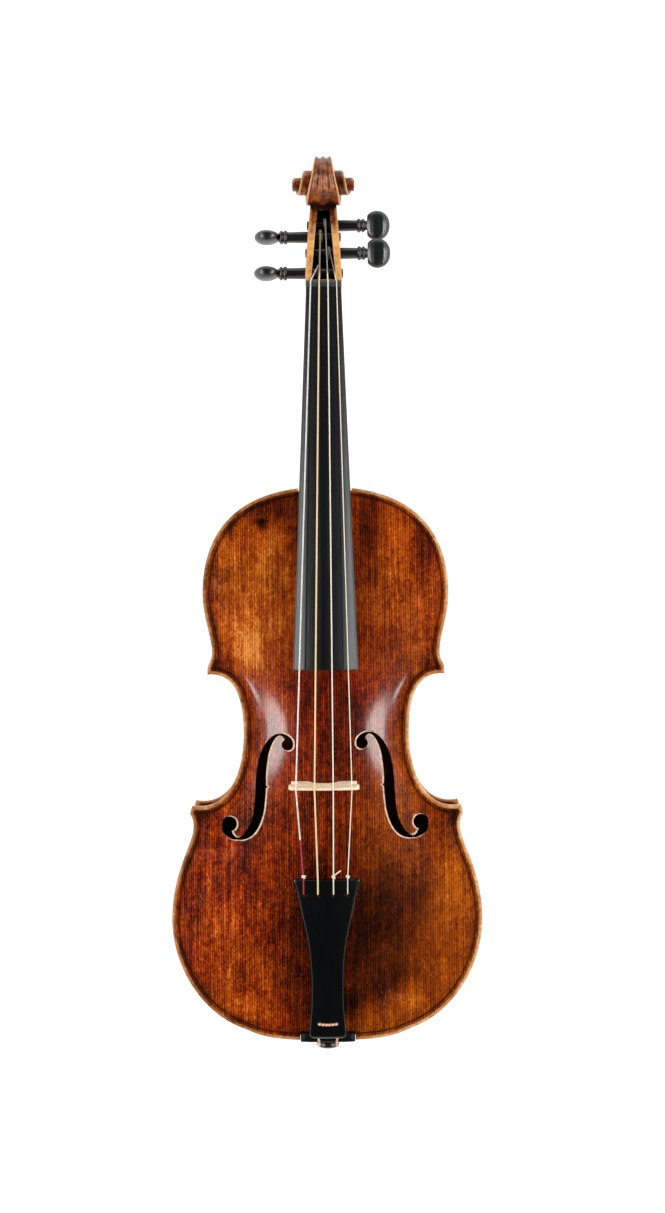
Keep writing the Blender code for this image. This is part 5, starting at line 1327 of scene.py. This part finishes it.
# Section of the tailpiece from the middle of its top round to the middle of its underside: the share of
# its half width, and the drop from its top
share, drop = np.array(((0.0, 0.0), (0.12, 0.0), (0.25, 0.0), (0.38, 0.0), (0.5, 0.0), (0.62, 0.0),
                        (0.74, 0.0), (0.85, 0.0), (0.93, 0.0), (0.965, 0.05), (0.985, 0.25), (0.997, 0.6),
                        (1.0, 1.1), (0.995, 2.4), (0.975, 3.5), (0.93, 4.3), (0.86, 4.75),
                        (0.6, TAIL_WOOD), (0.3, TAIL_WOOD), (0.0, TAIL_WOOD))).T
on_top = drop < 2
thick = ((TAIL_WOOD - TAIL_THINNER * (TAIL_FRONT - tail_y) / TAIL_FRONT) / TAIL_WOOD)[:, None]
ends_low = np.interp(tail_y, (TAIL_END, TAIL_END + 0.4, TAIL_END + 1.4, TAIL_FRONT - 1.2, TAIL_FRONT - 0.3,
                              TAIL_FRONT), (0.9, 0.35, 0.0, 0.0, 0.25, 0.6))[:, None]
across = tail_half[:, None] * share
up = (tail_top(tail_y)[:, None] - ends_low - tail_sag(across) * on_top
      - np.maximum(drop * thick - ends_low * ~on_top, 0))
# The front end is cut a little hollow
dip = 0.7 * (1 - share ** 2) * between(tail_y[:, None], 104.0, TAIL_FRONT) ** 2
tail = np.stack([across, tail_y[:, None] - dip, up], axis=-1)
shaped_tail = shape("waisted_tailpiece", both_sides(tail, to_middle(tail[0], 3), to_middle(tail[-1], 3)),
                    ebony("blackened tailpiece", tint(12, 15, 15), 0.14, pale=0.35), slot="ebony",
                    stands_for=("tailpiece",), sharp=32.0)


def drill(name, x, y, low, high, radius):
    """An upright round cutter with a flared mouth."""
    circle = eye_edge(x, y, 1.0, 0.0, 352.5) - (x, y)
    rings = [at_height((x, y) + circle * radius * flare, level) for flare, level in (
        (1.0, low), (1.0, high - 0.5), (1.5, high + 0.3), (1.5, high + 8))]
    return tool_of(name, np.stack(rings))


# Each string hole's distance from the middle line: the four are drilled a little to the left
HOLE_X = {"g": -14.7, "d": -5.7, "a": 4.1, "e": 13.0}
HOLE_Y, GUT_X, GUT_Y, GUT_RADIUS = 98.2, 5.7, 13.9, 0.75
tools = [drill("string_hole_" + name, hole_x, HOLE_Y, 66.0, tail_top(HOLE_Y) - tail_sag(hole_x), 1.35)
         for name, hole_x in HOLE_X.items()]
tools += [drill("gut_hole_" + label, side * GUT_X, GUT_Y, 54.0, tail_top(GUT_Y) - 0.2, 1.2)
          for side, label in ((-1, "left"), (1, "right"))]
worked(shaped_tail, tools, sharp=32.0, solver="MANIFOLD")

# The strand's right half, from the middle of the tailpiece to the middle of the button's underside
over = tail_top(GUT_Y) + 0.05 + GUT_RADIUS
under = tail_top(GUT_Y) - 4.6 - 0.1 - GUT_RADIUS
rest = SADDLE_TOP + 0.05 + GUT_RADIUS
LOOP_RADIUS, LOOP_Y = 5.6, -2.2
strand = [(0.0, GUT_Y - 0.3, over), (3.2, GUT_Y - 0.1, over), (4.8, GUT_Y + 0.1, over - 0.1),
          (5.6, GUT_Y, over - 1.0), (GUT_X, GUT_Y, under + 0.8), (GUT_X, GUT_Y - 1.2, under - 0.3),
          (5.8, 4.6, rest), (5.8, 1.2, rest - 0.1), (5.7, -1.0, rest - 1.4), (5.6, -1.9, rest - 4.0),
          (5.5, -2.0, 42.0)]
strand += [(LOOP_RADIUS * math.sin(angle), LOOP_Y, BUTTON_Z + LOOP_RADIUS * math.cos(angle))
           for angle in np.radians((75, 95, 115, 135, 155, 180))]
strand = strand[:-1] + [(-x, y, z) for x, y, z in strand[::-1]]
brown_gut = cord_finish("tail gut, pinkish brown", tint(196, 140, 112), tint(252, 220, 194), 2.2, 0.00004, {})
shape("tied_tail_gut", [(tube(through(strand, 6), GUT_RADIUS, 14), True)], brown_gut, slot="tail_gut",
      stands_for=("tail_gut",), sharp=60.0)


# Strings: three of plain twisted gut and one wound with silvered wire, its tail end served with crimson
# silk. Each runs from its peg over the nut and the bridge down into its hole, where its knot holds it.
# Metres along between which the wire gives way to silk, and millimetres to one turn of the silk
SILK_FROM, SILK_PITCH = (-0.0435, -0.0442), 0.5


def served_string():
    """Silvered wire wound over gut; from half way between bridge and tailpiece on, crimson silk."""
    made, place, feed = finish("silver-wound gut with a silk end", {})
    lay = place.node("ShaderNodeUVMap", {"uv_map": "lay"}, {})
    served = place.part(1).rise(*SILK_FROM)
    ridge = ((lay.part(0) + lay.part(1) / SILK_PITCH) * (2 * math.pi)).wave() * 0.5 + 0.5
    wire = place.cloud(900.0, 2.0).tones((0.3, tint(206, 206, 204)), (0.7, tint(248, 246, 242)))
    threads = ridge * 0.6 + place.cloud(900.0) * 0.4
    crimson = threads.tones((0.2, tint(122, 12, 34)), (0.8, tint(206, 50, 92)))
    feed(Base_Color=served.blend(wire, crimson), Roughness=0.34 + served * 0.3, Metallic=0.35 - served * 0.35,
         Normal=ridge.relief(0.00004, 0.6))
    return made


silver = served_string()
# Way of each knot's free end, from its last turn
STUBS = {"a": (4.6, 3.4, 0.6), "e": (1.2, -0.6, 0.4), "g": (1.6, -0.3, 0.3)}
KNOT_TURNS, KNOT_RADIUS = 2.0, 0.4
for name, nut_x, bridge_x in STRINGS:
    y, z, middle = next(peg[2:5] for peg in PEGS if peg[0] == name)
    radius = STRING_RADII[name]
    nut_z, bridge_z = NUT_STRING - crown_sag(nut_x), BRIDGE_STRING - crown_sag(bridge_x)
    notch_x = bridge_x + BRIDGE_X
    # It leaves its winding on a tangent, towards the nut
    reach = WINDING_RADIUS + 3 * radius + 0.45
    way = np.array((NUT_BACK - 0.4 - y, nut_z - 0.6 - z))
    lean = math.atan2(way[1], way[0]) - math.acos(reach / float(np.linalg.norm(way)))
    leaves = (middle, y + reach * math.cos(lean), z + reach * math.sin(lean))
    hole_x = HOLE_X[name]
    front = tail_top(TAIL_FRONT) - tail_sag(hole_x) + 0.1 + radius
    at_hole = tail_top(HOLE_Y) - tail_sag(hole_x)
    path = np.array((leaves, (nut_x * 0.95, NUT_BACK - 0.2, nut_z - 0.9),
                     (nut_x, NUT_BACK - 1.6, nut_z - 0.1), (nut_x, NUT_FRONT, nut_z),
                     (notch_x, BRIDGE_Y + 1.0, bridge_z), (notch_x, BRIDGE_Y - 1.0, bridge_z),
                     (hole_x, TAIL_FRONT + 0.4, front), (hole_x, HOLE_Y + 1.6, at_hole + 0.1 + radius),
                     (hole_x, HOLE_Y + 0.5, at_hole - 0.2), (hole_x, HOLE_Y, at_hole - 7.0)))
    look = {"g": silver, "d": thick_gut}.get(name, gut)
    shape("strung_" + name, [(tube(path, radius), True)], look,
          slot="silver_winding" if name == "g" else "gut", stands_for=("string_" + name,), sharp=60.0)
    # The knot: turns of a thinner cord round the string just before the tailpiece, and its free end
    if name in STUBS:
        turns = np.linspace(0.0, KNOT_TURNS, 29)
        angle = 2 * math.pi * turns
        clear = radius + KNOT_RADIUS + 0.02
        knot = np.column_stack([hole_x + clear * np.sin(angle), TAIL_FRONT + 0.9 + 0.85 * turns,
                                front + 0.3 + 0.1 * turns + clear * np.cos(angle)])
        end = knot[-1] + np.array(STUBS[name]) * np.array((0.4, 1.0))[:, None]
        shape("knot_" + name, [(tube(np.vstack([knot, end]), KNOT_RADIUS, 10), True)], gut, slot="gut",
              sharp=60.0)
